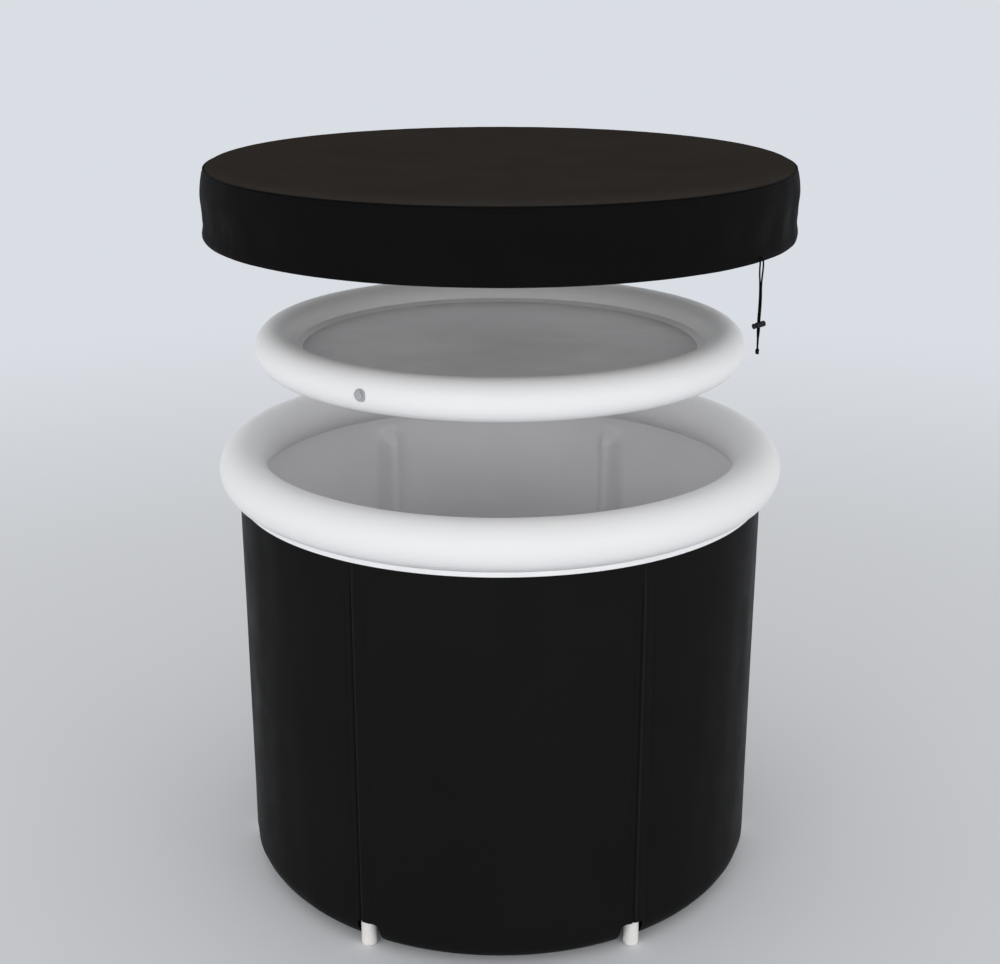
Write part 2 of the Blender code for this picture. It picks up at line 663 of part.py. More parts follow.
def skirt_ring(radius, height, pucker):
    """A ring of the cover's side cloth, with small outward puckers."""
    ring = []
    for column in range(COLUMNS):
        angle = 2 * HALF_COLUMN * column
        reach = radius + pucker * PUCKER_SHARES[column % len(PUCKER_SHARES)]
        ring.append(Vector((reach * math.cos(angle), reach * math.sin(angle), height)))
    return ring


def make_cover(lid):
    """The cloth cover: its top, the piping round it, the side cloth and the hem with the drawcord."""
    cover = guide("cover_guide", (0, 0, COVER_HEIGHT - LID_HEIGHT), lid)
    shoulder = SKIRT_INNER + COVER_CLOTH
    piping_ring = shoulder - PIPING_INSET
    piping = ring_tube("cover_piping", piping_ring, PIPING_RADIUS, sides=6, parent=cover)
    piping.location.z = COVER_CLOTH / 2
    paint(piping, (0.02, 0.02, 0.02), 0.6)
    top_radius = piping_ring - PIPING_RADIUS - GAP
    paint(disc("cover_top", top_radius, COVER_CLOTH, 0, cover), (0.030, 0.025, 0.021), 0.85)
    top = COVER_CLOTH / 2 - PIPING_RADIUS - GAP
    hem_top = HEM_HEIGHT / 2 - COVER_DROP
    rows = [
        (shoulder - SHOULDER_INSET, top, 0),
        (shoulder + CROWN_OUTSET / 2, top - SHOULDER_FALL, 0),
        (shoulder + CROWN_OUTSET, top - CROWN_FALL, 0),
        (shoulder, top - WAIST_FALL, 0),
        (shoulder, top - PUCKER_FALL, PUCKER),
        (shoulder, hem_top + GAP, PUCKER / 2),
    ]
    outer = [skirt_ring(*row) for row in rows]
    inner = [skirt_ring(radius - COVER_CLOTH, height, pucker) for radius, height, pucker in rows]
    paint(lofted("cover_skirt", outer + inner[::-1], cover), (0.012, 0.012, 0.013), 0.8)
    return cover


def make_hem(cover):
    """The hem, with the tunnel that holds the drawcord and the slot where its two ends come out."""
    height = -COVER_DROP
    half = HEM_HEIGHT / 2
    side = half - HEM_SHOULDER
    section = [(HEM_RADIUS, half), (HEM_OUTER, side), (HEM_OUTER, -side), (HEM_RADIUS, -half)]
    section += [(HEM_INNER, -side), (HEM_INNER, side)]
    wide = TUNNEL_RADIUS / math.cos(math.pi / 6)
    angles = [math.pi / 3 * corner for corner in range(6)]
    tunnel = [(HEM_RADIUS + wide * math.cos(angle), wide * math.sin(angle)) for angle in angles]
    hem = paint(turned("cover_hem", [section, tunnel], COLUMNS, parent=cover), (0.014, 0.014, 0.015), 0.8)
    hem.location.z = height
    half_slot = CORD_EXIT_SPREAD + TUNNEL_RADIUS
    front = HEM_THICKNESS / 2 + OVERRUN
    slot = block("cord_exit", (0, -half_slot, -TUNNEL_RADIUS), (front, half_slot, TUNNEL_RADIUS))
    turn = Matrix.Rotation(math.radians(CORD_EXIT_TURN), 4, "Z")
    slot.parent = cover
    slot.matrix_local = turn @ Matrix.Translation((HEM_RADIUS, 0, height))
    combine(hem, hide(slot))


def exit_frame():
    """Frame of the drawcord's exit in the cover: X round the hem, Y inwards, on the hem's outer face."""
    outward = around(CORD_EXIT_TURN)
    sideways = Vector((-outward.y, outward.x, 0))
    columns = Matrix((sideways, -outward, Vector((0, 0, 1)))).transposed()
    return Matrix.Translation(outward * HEM_OUTER + Vector((0, 0, -COVER_DROP))) @ columns.to_4x4()


def route_point(sideways, outward, drop):
    """A place in the cover, given by its distances from the drawcord's exit."""
    return exit_frame() @ Vector((sideways, -outward, -drop))


def smooth_route(points, spacing):
    """Evenly spaced points on a smooth curve through the route's points."""
    padded = [2 * points[0] - points[1]] + points + [2 * points[-1] - points[-2]]
    fine = [points[0]]
    steps = 20
    for before, start, end, after in zip(padded, padded[1:], padded[2:], padded[3:]):
        for step in range(1, steps + 1):
            t = step / steps
            curve = 2 * start + (end - before) * t + (2 * before - 5 * start + 4 * end - after) * t**2
            fine.append((curve + (3 * start - before - 3 * end + after) * t**3) / 2)
    lengths = [0.0]
    for a, b in zip(fine, fine[1:]):
        lengths.append(lengths[-1] + (b - a).length)
    count = max(2, round(lengths[-1] / spacing))
    route = []
    for k in range(count + 1):
        wanted = lengths[-1] * k / count
        place = next(i for i in range(1, len(fine)) if lengths[i] >= wanted or i == len(fine) - 1)
        share = (wanted - lengths[place - 1]) / (lengths[place] - lengths[place - 1])
        route.append(fine[place - 1].lerp(fine[place], min(share, 1)))
    return route


def make_drawcord(cover):
    """The drawcord: its round in the hem's tunnel, then two free strands that end in a knot."""
    height = Vector((0, 0, -COVER_DROP))
    turns = [CORD_EXIT_TURN + 360 * column / COLUMNS for column in range(COLUMNS)]
    columns = [around(turn) * HEM_RADIUS + height for turn in turns]
    outward = around(CORD_EXIT_TURN)
    ends = []
    for neighbour in (columns[1], columns[-1]):
        along = (neighbour - columns[0]).normalized()
        seat = columns[0] + along * CORD_EXIT_SPREAD
        face = seat + outward * HEM_THICKNESS / 2
        ends.append([face, seat + outward * CORD_RADIUS, seat + along * CORD_TURN_IN])
    points = ends[0] + columns[1:] + ends[1][::-1]
    paint(tube_curve("hem_drawcord", points, CORD_RADIUS, 0, cover), (0.02, 0.02, 0.02), 0.7)
    for name, strand in (("drawcord_left", LEFT_STRAND), ("drawcord_right", RIGHT_STRAND)):
        places = [route_point(*place) for place in strand]
        route = places[:1] + smooth_route(places[1:], CORD_POINT_SPACING)
        length = sum((b - a).length for a, b in zip(route, route[1:]))
        print(f"{name} is {length:.4f} m long")
        paint(tube_curve(name, route, CORD_RADIUS, 2, cover), (0.02, 0.02, 0.02), 0.7)
    shoulder = KNOT_RADIUS / 2
    outline = [(0, 0), (KNOT_RADIUS - GAP, 0), (KNOT_RADIUS, -shoulder)]
    outline += [(KNOT_RADIUS, shoulder - KNOT_HEIGHT), (shoulder, -KNOT_HEIGHT), (0, -KNOT_HEIGHT)]
    knot = turned("cord_knot", [outline], LOCK_SIDES, False, cover)
    knot.location = route_point(*KNOT_PLACE)
    paint(knot, (0.02, 0.02, 0.02), 0.7)


def make_cord_lock(cover):
    """The spring cord lock: a blind body and a sprung button, both pierced by a slot for the two strands."""
    turn = math.radians(LOCK_TURN)
    tilt = math.radians(LOCK_TILT)
    level = math.cos(tilt)
    exit_place = exit_frame()
    axis = exit_place.to_3x3() @ Vector((-math.cos(turn) * level, math.sin(turn) * level, -math.sin(tilt)))
    place = route_point(*LOCK_PLACE)
    side = Vector((0, 0, 1)).cross(axis).normalized()
    frame = frame_of(place, axis, side)
    lean = math.tan(tilt)
    slot_reach = BORE_SLOT_HALF / level + LOCK_RADIUS * lean
    mouth = slot_reach + LOCK_MOUTH
    inner_reach = BORE_SLOT_HALF / level + PLUNGER_RADIUS * lean
    plunger_in = -inner_reach - PLUNGER_END
    bore_end = plunger_in - GAP - LOCK_TRAVEL - SPRING_SPACE
    closed_end = bore_end - LOCK_END_WALL
    round_edge = LOCK_RADIUS / 4
    body = [(0, closed_end), (LOCK_RADIUS - round_edge, closed_end), (LOCK_RADIUS, closed_end + round_edge)]
    body += [(LOCK_RADIUS, mouth), (BODY_BORE, mouth), (BODY_BORE, bore_end), (0, bore_end)]
    lock_body = turned("cord_lock_body", [body[::-1]], LOCK_SIDES, False, cover)
    paint(lock_body, (0.02, 0.02, 0.02), 0.4).matrix_local = frame
    head_in = mouth + BUTTON_NECK
    head_out = head_in + BUTTON_HEAD
    button = [(0, head_out), (LOCK_RADIUS - round_edge, head_out), (LOCK_RADIUS, head_out - round_edge)]
    button += [(LOCK_RADIUS, head_in), (PLUNGER_RADIUS, head_in), (PLUNGER_RADIUS, plunger_in)]
    button.append((0, plunger_in))
    lock_button = turned("cord_lock_button", [button], LOCK_SIDES, False, cover)
    paint(lock_button, (0.03, 0.03, 0.03), 0.4).matrix_local = frame
    flat = Vector((axis.x, axis.y, 0)).normalized()
    upright = frame_of(place, Vector((0, 0, 1)), Vector((0, 0, 1)).cross(flat))
    half_width = CORD_RADIUS + GAP
    high = LOCK_RADIUS + LOCK_RADIUS * lean + OVERRUN
    for lock, more in ((lock_body, 0), (lock_button, LOCK_TRAVEL * level)):
        low_corner = (-BORE_SLOT_HALF, -half_width, -high)
        slot = block(f"{lock.name}_slot", low_corner, (BORE_SLOT_HALF + more, half_width, high))
        slot.parent = cover
        slot.matrix_local = upright
        combine(lock, hide(slot))
    make_lock_spring(cover, frame, bore_end)


def make_lock_spring(cover, frame, bore_end):
    """The spring behind the button, drawn at its pressed length."""
    coil_radius = PLUNGER_RADIUS - SPRING_WIRE - GAP
    start = bore_end + GAP + SPRING_WIRE
    rise = SPRING_SPACE - 2 * (GAP + SPRING_WIRE)
    points = []
    for k in range(SPRING_TURNS * SPRING_POINTS + 1):
        turn = math.tau * k / SPRING_POINTS
        share = k / (SPRING_TURNS * SPRING_POINTS)
        points.append((coil_radius * math.cos(turn), coil_radius * math.sin(turn), start + rise * share))
    spring = tube_curve("cord_lock_spring", points, SPRING_WIRE, 0, cover)
    paint(spring, (0.5, 0.5, 0.5), 0.3, 1.0).matrix_local = frame


def main():
    for obj in list(bpy.data.objects):
        bpy.data.objects.remove(obj)
    for name in (PARTS, CUTTERS):
        bpy.context.scene.collection.children.link(bpy.data.collections.new(name))
    make_wall()
    make_rim()
    make_rods()
    make_drain()
    cover = make_cover(make_lid())
    make_hem(cover)
    make_drawcord(cover)
    make_cord_lock(cover)


main()
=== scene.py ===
"""Looks of a round inflatable bathtub with its inflatable lid and its drawstring cover.

Lengths are in metres and turns round the Z axis in degrees. +Z is up, the front faces -Y, and the origin lies on the
floor under the middle of the tub. Every piece is made in place, so its object sits at the origin.
"""

import math
from contextlib import contextmanager

import bmesh
import bpy
import numpy as np
from mathutils import Matrix, Vector


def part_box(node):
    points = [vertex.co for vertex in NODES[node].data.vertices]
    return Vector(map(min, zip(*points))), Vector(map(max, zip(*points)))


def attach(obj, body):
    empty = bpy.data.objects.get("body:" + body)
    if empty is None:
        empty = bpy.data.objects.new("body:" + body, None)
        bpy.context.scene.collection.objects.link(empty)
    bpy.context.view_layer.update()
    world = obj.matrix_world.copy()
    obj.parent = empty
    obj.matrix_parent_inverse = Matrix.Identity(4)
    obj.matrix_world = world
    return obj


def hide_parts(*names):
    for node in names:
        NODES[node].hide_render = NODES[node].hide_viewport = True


bl_info = {
    "name": "Inflatable bathtub",
    "version": (1, 0, 0),
    "blender": (4, 5, 0),
    "location": "View3D > Sidebar > Bathtub",
    "description": "Makes the looks of a round inflatable bathtub, its lid and its cover",
    "category": "Add Mesh",
}

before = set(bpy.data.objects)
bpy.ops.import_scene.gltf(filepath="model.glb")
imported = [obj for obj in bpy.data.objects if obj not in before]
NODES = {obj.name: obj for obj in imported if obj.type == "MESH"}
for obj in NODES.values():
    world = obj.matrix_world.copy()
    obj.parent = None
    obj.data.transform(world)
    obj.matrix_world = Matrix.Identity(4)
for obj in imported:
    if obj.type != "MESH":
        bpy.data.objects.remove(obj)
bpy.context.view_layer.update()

TURN = 2 * math.pi
UP = Vector((0, 0, 1))

# How finely the pieces are made
COLUMNS = 384
RING_SIDES = 56
SMALL_SIDES = 48
CORD_SIDES = 12
HINGE_SIDES = 16
HEM_CORD_SIDES = 10
SHEEN_LINE_SIDES = 8
SPLINE_STEPS = 20
SEAM_POINTS = 60
ROD_COLUMNS = 22
ROD_COLUMN_STEP = 0.0015
BETWEEN_COLUMNS = 40
UPPER_ROWS = 20
LOWER_ROWS = 40
ROUNDING_ROWS = 11
DISC_ROWS = 40

# Rounded ends of a tube, as shares of its radius, and the share of an edge that a rounded corner may take
END_CAP = 0.35
END_REACH = 0.8
END_SIZE = 0.6
CORNER_SHARE = 0.45

# Clearances and layers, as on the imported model, whose round pieces have flat facets
GAP = 0.0003
OUTER_CLOTH = 0.0012
FOAM = 0.0060
LINER = 0.0008
FOAM_OFFSET = OUTER_CLOTH + GAP
LINER_OFFSET = FOAM_OFFSET + FOAM + GAP
LINER_FACE = LINER_OFFSET + LINER
FLANGE_CLOTH = 0.0012
FLANGE_LEG = 0.0080
HALF_FACET = math.pi / 48
FACET_FLAT = math.cos(HALF_FACET)

# Tub
WALL_OUTSET = 0.0074
BASE_ROUNDING = 0.0500
ROD_COUNT = 6
ROD_RADIUS = 0.0125
ROD_WALL = 0.0020
ROD_BACK_EASE = 0.0012
ROD_TOP_DROP = 0.0552
FINE_ROWS_REACH = 0.0140
FOOT_HEIGHT = 0.0200
FOOT_EDGE = 0.0035
SHANK_RADIUS = 0.0102
SHANK_LENGTH = 0.0150
SLEEVE_RADIUS = 0.0133
SLEEVE_CLOTH = 0.0008
SLEEVE_WING = 0.0150
SLEEVE_LOW = 0.0050
SLEEVE_STEPS = 12
RIDGE_DEPTH = 0.0279
RIDGE_WIDTH = 0.0190
RIDGE_POWER = 2.8
RIDGE_RISE = 0.0055
RIDGE_FADE = 0.0150
NOTCH_NEAR = 0.0005
NOTCH_FAR = 0.0155
NOTCH_HEIGHT = 0.0460
NOTCH_CORNER = 0.0060
NOTCH_PAST = 0.0040

# Each wave of the soft folds: the range of its turns round the tub, its most tilt and its least height
WAVE_TURNS = (3, 40)
WAVE_TILT = 30
LEAST_WAVE = 0.4

# Soft folds of each cloth: the seed, the number of waves and how much they lean
WALL_WAVES = (5, 16, 0.35)
LINER_WAVES = (11, 18, 0.5)
SHEET_WAVES = (23, 8)
TOP_WAVES = (41, 10)
SKIRT_WAVES = (31, 16, 0.6)
SHEET_WAVE = 0.0008
TOP_WAVE = 0.0010

# Gathers of each cloth: their height, their count, their sway and how often it turns round the tub
LINER_GATHERS = (0.0005, 150, 4, 7)
SHEET_GATHERS = (0.0007, 46, 3, 5)
TOP_GATHERS = (0.0004, 60, 4, 7)
SKIRT_GATHERS = (0.0004, 110, 5, 9)
HEM_GATHERS = (0.00025, 170, 5, 11)

# Where the folds fade in or out: depths below the wall's top, heights over the floor, drops below the cover's top
# and shares of a radius
WALL_TOP_FADE = 0.03
WALL_FOOT_FADE = (0.005, 0.04)
ROD_TOP_FADE = 0.03
ROD_FOOT_FADE = 0.02
LINER_TOP_FADE = (0.008, 0.06)
LINER_GATHERS_FADE = (0.60, 0.655)
SHEET_EDGE = 0.6
TOP_EDGE = 0.55
SKIRT_GATHERS_FADE = (0.055, 0.090)
SKIRT_FOLDS_FADE = (0.010, 0.060)
SKIRT_HEM_FADE = (0.075, 0.1)
SKIRT_HEM_CALM = 0.7

# Relief of the outer wall beside each rod
BULGE = 0.0014
BULGE_WIDTH = 0.0120
CREASE = 0.0030
CREASE_ASIDE = -0.0055
CREASE_WIDTH = 0.0018
SLEEVE_SEAM = 0.0008
SLEEVE_SEAM_ASIDE = 0.0172
SLEEVE_SEAM_WIDTH = 0.0026
SLEEVE_SEAM_LOW = 0.0080
BASE_FOLD_SHARE = 0.25
# A thin raised line beside each rod. Its finish is lighter than the wall, as a painted highlight of the gloss on that
# bend
SHEEN_LINE_ASIDE = -0.0018
SHEEN_LINE_RADIUS = 0.0020
SHEEN_LINE_SUNK = 0.6
SHEEN_LINE_LOW = 0.0060

# Drain
DRAIN_TURN = 93.75
DRAIN_HEIGHT = 0.0750
BARREL_RADIUS = 0.0100
BARREL_BORE = 0.0075
BARREL_REACH = 0.0140
DRAIN_CUT = 0.0140
DRAIN_FLANGE_RADIUS = 0.0200
DRAIN_FLANGE = 0.0025
GASKET = 0.0015
NUT = 0.0050
NUT_RADIUS = 0.0150
CAP_WALL = 0.0020
RIB_HALF_WIDTH = 0.0007
RIB_DEPTH = 0.0005
RIB_EASE = 0.0006
RIB_ROOT = 0.0008
RIB_EDGE = 0.6
NUT_RIBS = 18
CAP_RIBS = 24
STOPPER_DEPTH = 0.0080
STOPPER_HEAD = 0.0020
STOPPER_KNOB = 0.0050
STOPPER_KNOB_RADIUS = 0.0040

# Air valves
VALVE_RADIUS = 0.0095
VALVE_PROUD = 0.0010
VALVE_DEPTH = 0.0060
VALVE_DISH = 0.0003
VALVE_BORE = 0.0037
PLUG_RADIUS = 0.0055
PLUG_HEAD = 0.0016
PLUG_EDGE = 0.0005
STUB_RADIUS = 0.0030
STUB_LENGTH = 0.0030
STRAP = 0.0008
STRAP_WIDTH = 0.0036
HINGE_REACH = 0.0086
HINGE_BARREL = 0.0007
HINGE_WIDTH = 0.0044
RIM_VALVE_TURN = 105.0
RIM_VALVE_PITCH = -45.0
LID_VALVE_TURN = -120.5
CUTTER_PROUD = 0.0060
SEAT_EASE = 0.0005

# Lid
SHEET_CLOTH = 0.0010
SHEET_DROP = 0.0050
WELD_BAND = 0.0120
LID_WAVE_SHARE = 0.8

# Cover
COVER_CLOTH = 0.0012
COVER_EASE = 0.0015
COVER_DROP = 0.1040
PIPING_RADIUS = 0.0012
PIPING_WAVE = 0.0002
SKIRT_INSET = 0.0013
HEM_THICKNESS = 0.0040
HEM_HEIGHT = 0.0130
HEM_SIDES = 20
HEM_POWERS = (0.75, 0.45)
HEM_INNER_SHARE = 0.3
HEM_GAP_TURN = 1.2
HEM_CORD_POINTS = 240
HEM_CORD_SHARE = 0.96
HEM_CORD_SUNK = 0.0002

# Drawcord: its route in the frame of its exit, as sideways, outward and drop
CORD_RADIUS = 0.00125
CORD_EXIT_TURN = -37.5
CORD_EXIT_SPREAD = 0.0027
CORD_STEP = 0.0015
STRANDS = {
    "left": (
        (-0.0027, 0.0003, 0.0000),
        (-0.0027, 0.0014, 0.0001),
        (-0.0030, 0.0030, 0.0024),
        (-0.0035, 0.0036, 0.0085),
        (-0.0038, 0.0036, 0.0165),
        (-0.0034, 0.0037, 0.0245),
        (-0.0023, 0.0039, 0.0330),
        (-0.0019, 0.0043, 0.0450),
        (-0.0019, 0.0046, 0.0570),
        (-0.0023, 0.0047, 0.0690),
        (-0.0030, 0.0048, 0.0800),
        (-0.0036, 0.0048, 0.0895),
        (-0.0036, 0.0048, 0.0985),
        (-0.0036, 0.0048, 0.1075),
        (-0.0039, 0.0054, 0.1135),
        (-0.0039, 0.0058, 0.1195),
        (-0.0038, 0.0061, 0.1334),
    ),
    "right": (
        (0.0027, 0.0003, 0.0000),
        (0.0027, 0.0014, 0.0000),
        (0.0029, 0.0042, 0.0018),
        (0.0030, 0.0053, 0.0070),
        (0.0029, 0.0055, 0.0140),
        (0.0021, 0.0054, 0.0225),
        (0.0008, 0.0053, 0.0330),
        (0.0010, 0.0051, 0.0450),
        (0.0010, 0.0056, 0.0570),
        (0.0005, 0.0059, 0.0690),
        (-0.0004, 0.0061, 0.0800),
        (-0.0012, 0.0062, 0.0895),
        (-0.0012, 0.0062, 0.0985),
        (-0.0012, 0.0062, 0.1075),
        (-0.0011, 0.0056, 0.1135),
        (-0.0012, 0.0052, 0.1195),
        (-0.0013, 0.0049, 0.1334),
    ),
}
STRAND_SPACING = 0.0028
LOCK_PLACE = (-0.0024, 0.0055, 0.0985)
LOCK_TURN = 30.0
LOCK_TILT = 10.5
LOCK_RADIUS = 0.00425
LOCK_WALL = 0.00125
LOCK_END_WALL = 0.0012
LOCK_TRAVEL = 0.0020
LOCK_MOUTH = 0.0012
PLUNGER_END = 0.0015
SPRING_SPACE = 0.0024
BUTTON_NECK = 0.0024
BUTTON_HEAD = 0.0030
KNOT_PLACE = (-0.00255, 0.0055, 0.1337)
KNOT_RADIUS = 0.0030
KNOT_HEIGHT = 0.0096
KNOT_TURNS = 3
KNOT_STEPS = 20
KNOT_REACH = 0.42
KNOT_SWELL = 0.13
KNOT_START = 0.4
KNOT_CORD = 0.45

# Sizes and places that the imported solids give
RIM_LOW, RIM_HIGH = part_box("rim_ring")
RIM_TUBE = (RIM_HIGH.z - RIM_LOW.z) / 2
RIM_RADIUS = RIM_HIGH.x - RIM_TUBE
RIM_HEIGHT = RIM_LOW.z + RIM_TUBE
LID_LOW, LID_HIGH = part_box("lid_ring")
LID_TUBE = (LID_HIGH.z - LID_LOW.z) / 2
LID_RADIUS = (LID_HIGH.x - LID_LOW.x) / 2 - LID_TUBE
LID_HEIGHT = LID_LOW.z + LID_TUBE
COVER_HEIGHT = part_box("cover_top")[0].z

WALL_RADIUS = RIM_RADIUS + WALL_OUTSET
BASE_EDGE = WALL_RADIUS - BASE_ROUNDING
FLANGE_TOP = RIM_HEIGHT - RIM_TUBE - GAP
WALL_TOP = FLANGE_TOP - FLANGE_CLOTH - GAP
ROD_PLACE = WALL_RADIUS - OUTER_CLOTH - ROD_BACK_EASE - ROD_RADIUS
ROD_TOP = WALL_TOP - ROD_TOP_DROP
SHEET_RADIUS = LID_RADIUS - LID_TUBE - WELD_BAND
COVER_INNER = RIM_RADIUS + RIM_TUBE + COVER_EASE
COVER_SHOULDER = COVER_INNER + SKIRT_INSET + COVER_CLOTH
HEM_MIDDLE = COVER_HEIGHT - COVER_DROP

# Outlines of the cover: radius and height of its top, outset and drop of its side
TOP_PROFILE = (
    (0.0, 0.0008),
    (0.200, 0.0010),
    (0.330, 0.0026),
    (0.370, 0.0038),
    (0.400, 0.0044),
    (0.430, 0.0053),
    (0.445, 0.0056),
    (0.455, 0.0040),
    (0.463, 0.0008),
)
SKIRT_PROFILE = (
    (-0.0036, 0.0045),
    (-0.0018, 0.0080),
    (-0.0006, 0.0125),
    (0.0010, 0.0200),
    (0.0024, 0.0300),
    (0.0031, 0.0400),
    (0.0026, 0.0500),
    (0.0014, 0.0600),
    (0.0004, 0.0750),
    (0.0003, 0.0900),
    (0.0014, 0.0965),
    (0.0024, 0.1010),
    (0.0026, 0.1045),
    (0.0021, 0.1080),
    (0.0004, 0.1112),
)
SKIRT_TOP = SKIRT_PROFILE[0][1]
SKIRT_END = SKIRT_PROFILE[-1][1]
SEAM_RADIUS = 0.4690
SEAM_DROP = 0.0035
TOP_RADIUS = SEAM_RADIUS - PIPING_RADIUS - GAP
TOP_SEAM = 0.0060
HEM_SEAM = 0.0950
SIDE_SEAM_TURNS = (-55.5, 124.5)
SIDE_SEAM_HALF = 0.0035
SIDE_SEAM_START = 0.0030
SIDE_SEAM_POINTS = 40
# Rows of the top's and the side's cloth: from where, to where and how many
TOP_ROWS = ((0, 0.40, 30), (0.41, TOP_RADIUS, 22))
SKIRT_ROWS = ((SKIRT_TOP, 0.03, 12), (0.033, SKIRT_END, 34))

# Camera, lights and floor
CAMERA_PLACE = (0.0, -2.62, 1.534)
CAMERA_DIP = 18.37
FOCAL_SHARE = 1.6184
SENSOR = 36.0
FLOOR_COLOUR = (0.80, 0.82, 0.85)
FLOOR_REACH = 30.0
FLOOR_DROP = 0.0004
FLOOR_ROUGHNESS = 0.8
FLOOR_FADE = (1.2, 4.5)
BACK_COLOUR = (0.70, 0.73, 0.78)
SKY_FADE = (0.35, 0.65)
SKY_LOW = 1.25
SKY_HIGH = 0.5
# Each soft light: its place, the point that it faces, its width, its height and its power in watts
SOFT_LIGHTS = {
    "left_softbox": ((-2.6, -4.3, 2.1), (0, 0, 0.75), 2.2, 1.1, 22),
    "right_softbox": ((3.2, -3.7, 2.1), (0, 0, 0.75), 2.2, 1.1, 15),
    "front_softbox": ((0.2, -4.6, 1.9), (0, 0, 0.85), 2.4, 2.0, 14),
}


def length_setting(name, description, default):
    return bpy.props.FloatProperty(name=name, description=description, default=default, unit="LENGTH")


def colour_setting(name, description, default):
    return bpy.props.FloatVectorProperty(
        name=name, description=description, default=default, subtype="COLOR", size=3, min=0, max=1
    )


class BathSizes(bpy.types.PropertyGroup):
    """Sizes that a user may change."""

    rim_radius: length_setting("Rim radius", "Middle of the rim ring's tube", RIM_RADIUS)
    rim_tube: length_setting("Rim tube", "Radius of the rim ring's tube", RIM_TUBE)
    lid_radius: length_setting("Lid radius", "Middle of the lid ring's tube", LID_RADIUS)
    lid_tube: length_setting("Lid tube", "Radius of the lid ring's tube", LID_TUBE)
    film_wave: length_setting("Film wave", "Height of the soft waves in the inflated film", 0.0005)
    wall_fold: length_setting("Wall fold", "Height of the soft folds in the outer wall", 0.0007)
    liner_fold: length_setting("Liner fold", "Height of the soft folds in the liner", 0.0010)
    cover_fold: length_setting("Cover fold", "Height of the puckers in the cover's side", 0.0012)
    stitch_pitch: length_setting("Stitch pitch", "Distance from stitch to stitch", 0.0042)
    thread: length_setting("Thread", "Thickness of the sewing thread", 0.0005)


class BathColours(bpy.types.PropertyGroup):
    """Colours that a user may change."""

    wall: colour_setting("Wall", "Laminate of the outer wall", (0.0092, 0.0092, 0.0094))
    liner: colour_setting("Liner", "Waterproof liner", (0.85, 0.845, 0.865))
    rim: colour_setting("Rim", "Film of the inflated rings", (0.85, 0.85, 0.855))
    weld: colour_setting("Weld", "Welded bands", (0.87, 0.87, 0.875))
    lid_sheet: colour_setting("Lid sheet", "Sheet across the lid", (0.80, 0.795, 0.81))
    cover_top: colour_setting("Cover top", "Top cloth of the cover", (0.0335, 0.0284, 0.0247))
    cover_side: colour_setting("Cover side", "Side cloth of the cover", (0.0052, 0.0050, 0.0050))
    trim: colour_setting("Trim", "Piping, hem and drawcord", (0.0045, 0.0045, 0.0048))
    feet: colour_setting("Feet", "Feet and plugs of the rods", (0.84, 0.825, 0.795))
    valve: colour_setting("Valve", "Air valves", (0.42, 0.43, 0.44))


# Materials

class Graph:
    """Adds nodes to one tree and joins them."""

    def __init__(self, tree):
        self.tree = tree

    def add(self, kind, inputs=None, **settings):
        """Adds a node, with sockets or plain values at its inputs."""
        node = self.tree.nodes.new(kind)
        for name, value in settings.items():
            setattr(node, name, value)
        for key, value in (inputs or {}).items():
            self.put(node.inputs[key], value)
        return node

    def put(self, socket, value):
        if isinstance(value, bpy.types.NodeSocket):
            self.tree.links.new(value, socket)
        else:
            socket.default_value = value

    def out(self, kind, inputs=None, output=0, **settings):
        """Adds a node and gives one of its outputs."""
        return self.add(kind, inputs, **settings).outputs[output]

    def math(self, operation, *values):
        return self.out("ShaderNodeMath", dict(enumerate(values)), operation=operation)

    def vector(self, operation, *values, output="Vector"):
        return self.out("ShaderNodeVectorMath", dict(enumerate(values)), output, operation=operation)

    def scaled(self, vector, factor):
        return self.out("ShaderNodeVectorMath", {"Vector": vector, "Scale": factor}, operation="SCALE")

    def noise(self, place, scale, detail):
        return self.out("ShaderNodeTexNoise", {"Vector": place, "Scale": scale, "Detail": detail})

    def mapped(self, value, span, low=0.0, high=1.0, kind="LINEAR"):
        """A number that goes from low to high while the value goes through the span."""
        inputs = {"Value": value, "From Min": span[0], "From Max": span[1], "To Min": low, "To Max": high}
        return self.out("ShaderNodeMapRange", inputs, interpolation_type=kind)

    def mixed(self, share, first, second):
        return self.out("ShaderNodeMixShader", {0: share, 1: first, 2: second})


def weave_height(graph, across, along, pitch):
    """Height of a plain weave with this thread pitch, from 0 to 1."""
    calc = graph.math
    u, v = calc("DIVIDE", across, pitch), calc("DIVIDE", along, pitch)
    over = calc("ABSOLUTE", calc("MODULO", calc("ADD", calc("FLOOR", u), calc("FLOOR", v)), 2.0))
    weft = calc("ABSOLUTE", calc("SINE", calc("MULTIPLY", v, math.pi)))
    warp = calc("ABSOLUTE", calc("SINE", calc("MULTIPLY", u, math.pi)))
    low = 0.4
    weft = calc("MULTIPLY", weft, calc("MULTIPLY_ADD", over, 1 - low, low))
    warp = calc("MULTIPLY", warp, calc("MULTIPLY_ADD", over, low - 1, 1.0))
    return calc("MAXIMUM", weft, warp)


def braid_height(graph, across, along, pitch):
    """Height of a round braid whose strands cross at this pitch."""
    calc = graph.math
    u, v = calc("MULTIPLY", across, TURN / pitch), calc("MULTIPLY", along, TURN / pitch / 2)
    crossing = calc("MULTIPLY", calc("SINE", calc("ADD", u, v)), calc("SINE", calc("SUBTRACT", u, v)))
    return calc("ABSOLUTE", crossing)


MATT = {"Specular IOR Level": 0.0}
LOW_GLOSS = {"Specular IOR Level": 0.011}
DULL = {"Specular IOR Level": 0.02}
SATIN = {"Specular IOR Level": 0.2}
METAL = {"Metallic": 1.0}
ROUGHNESS_SPREAD = 0.05
LEAST_ROUGHNESS = 0.02
NOISE_SPAN = (0.3, 0.7)

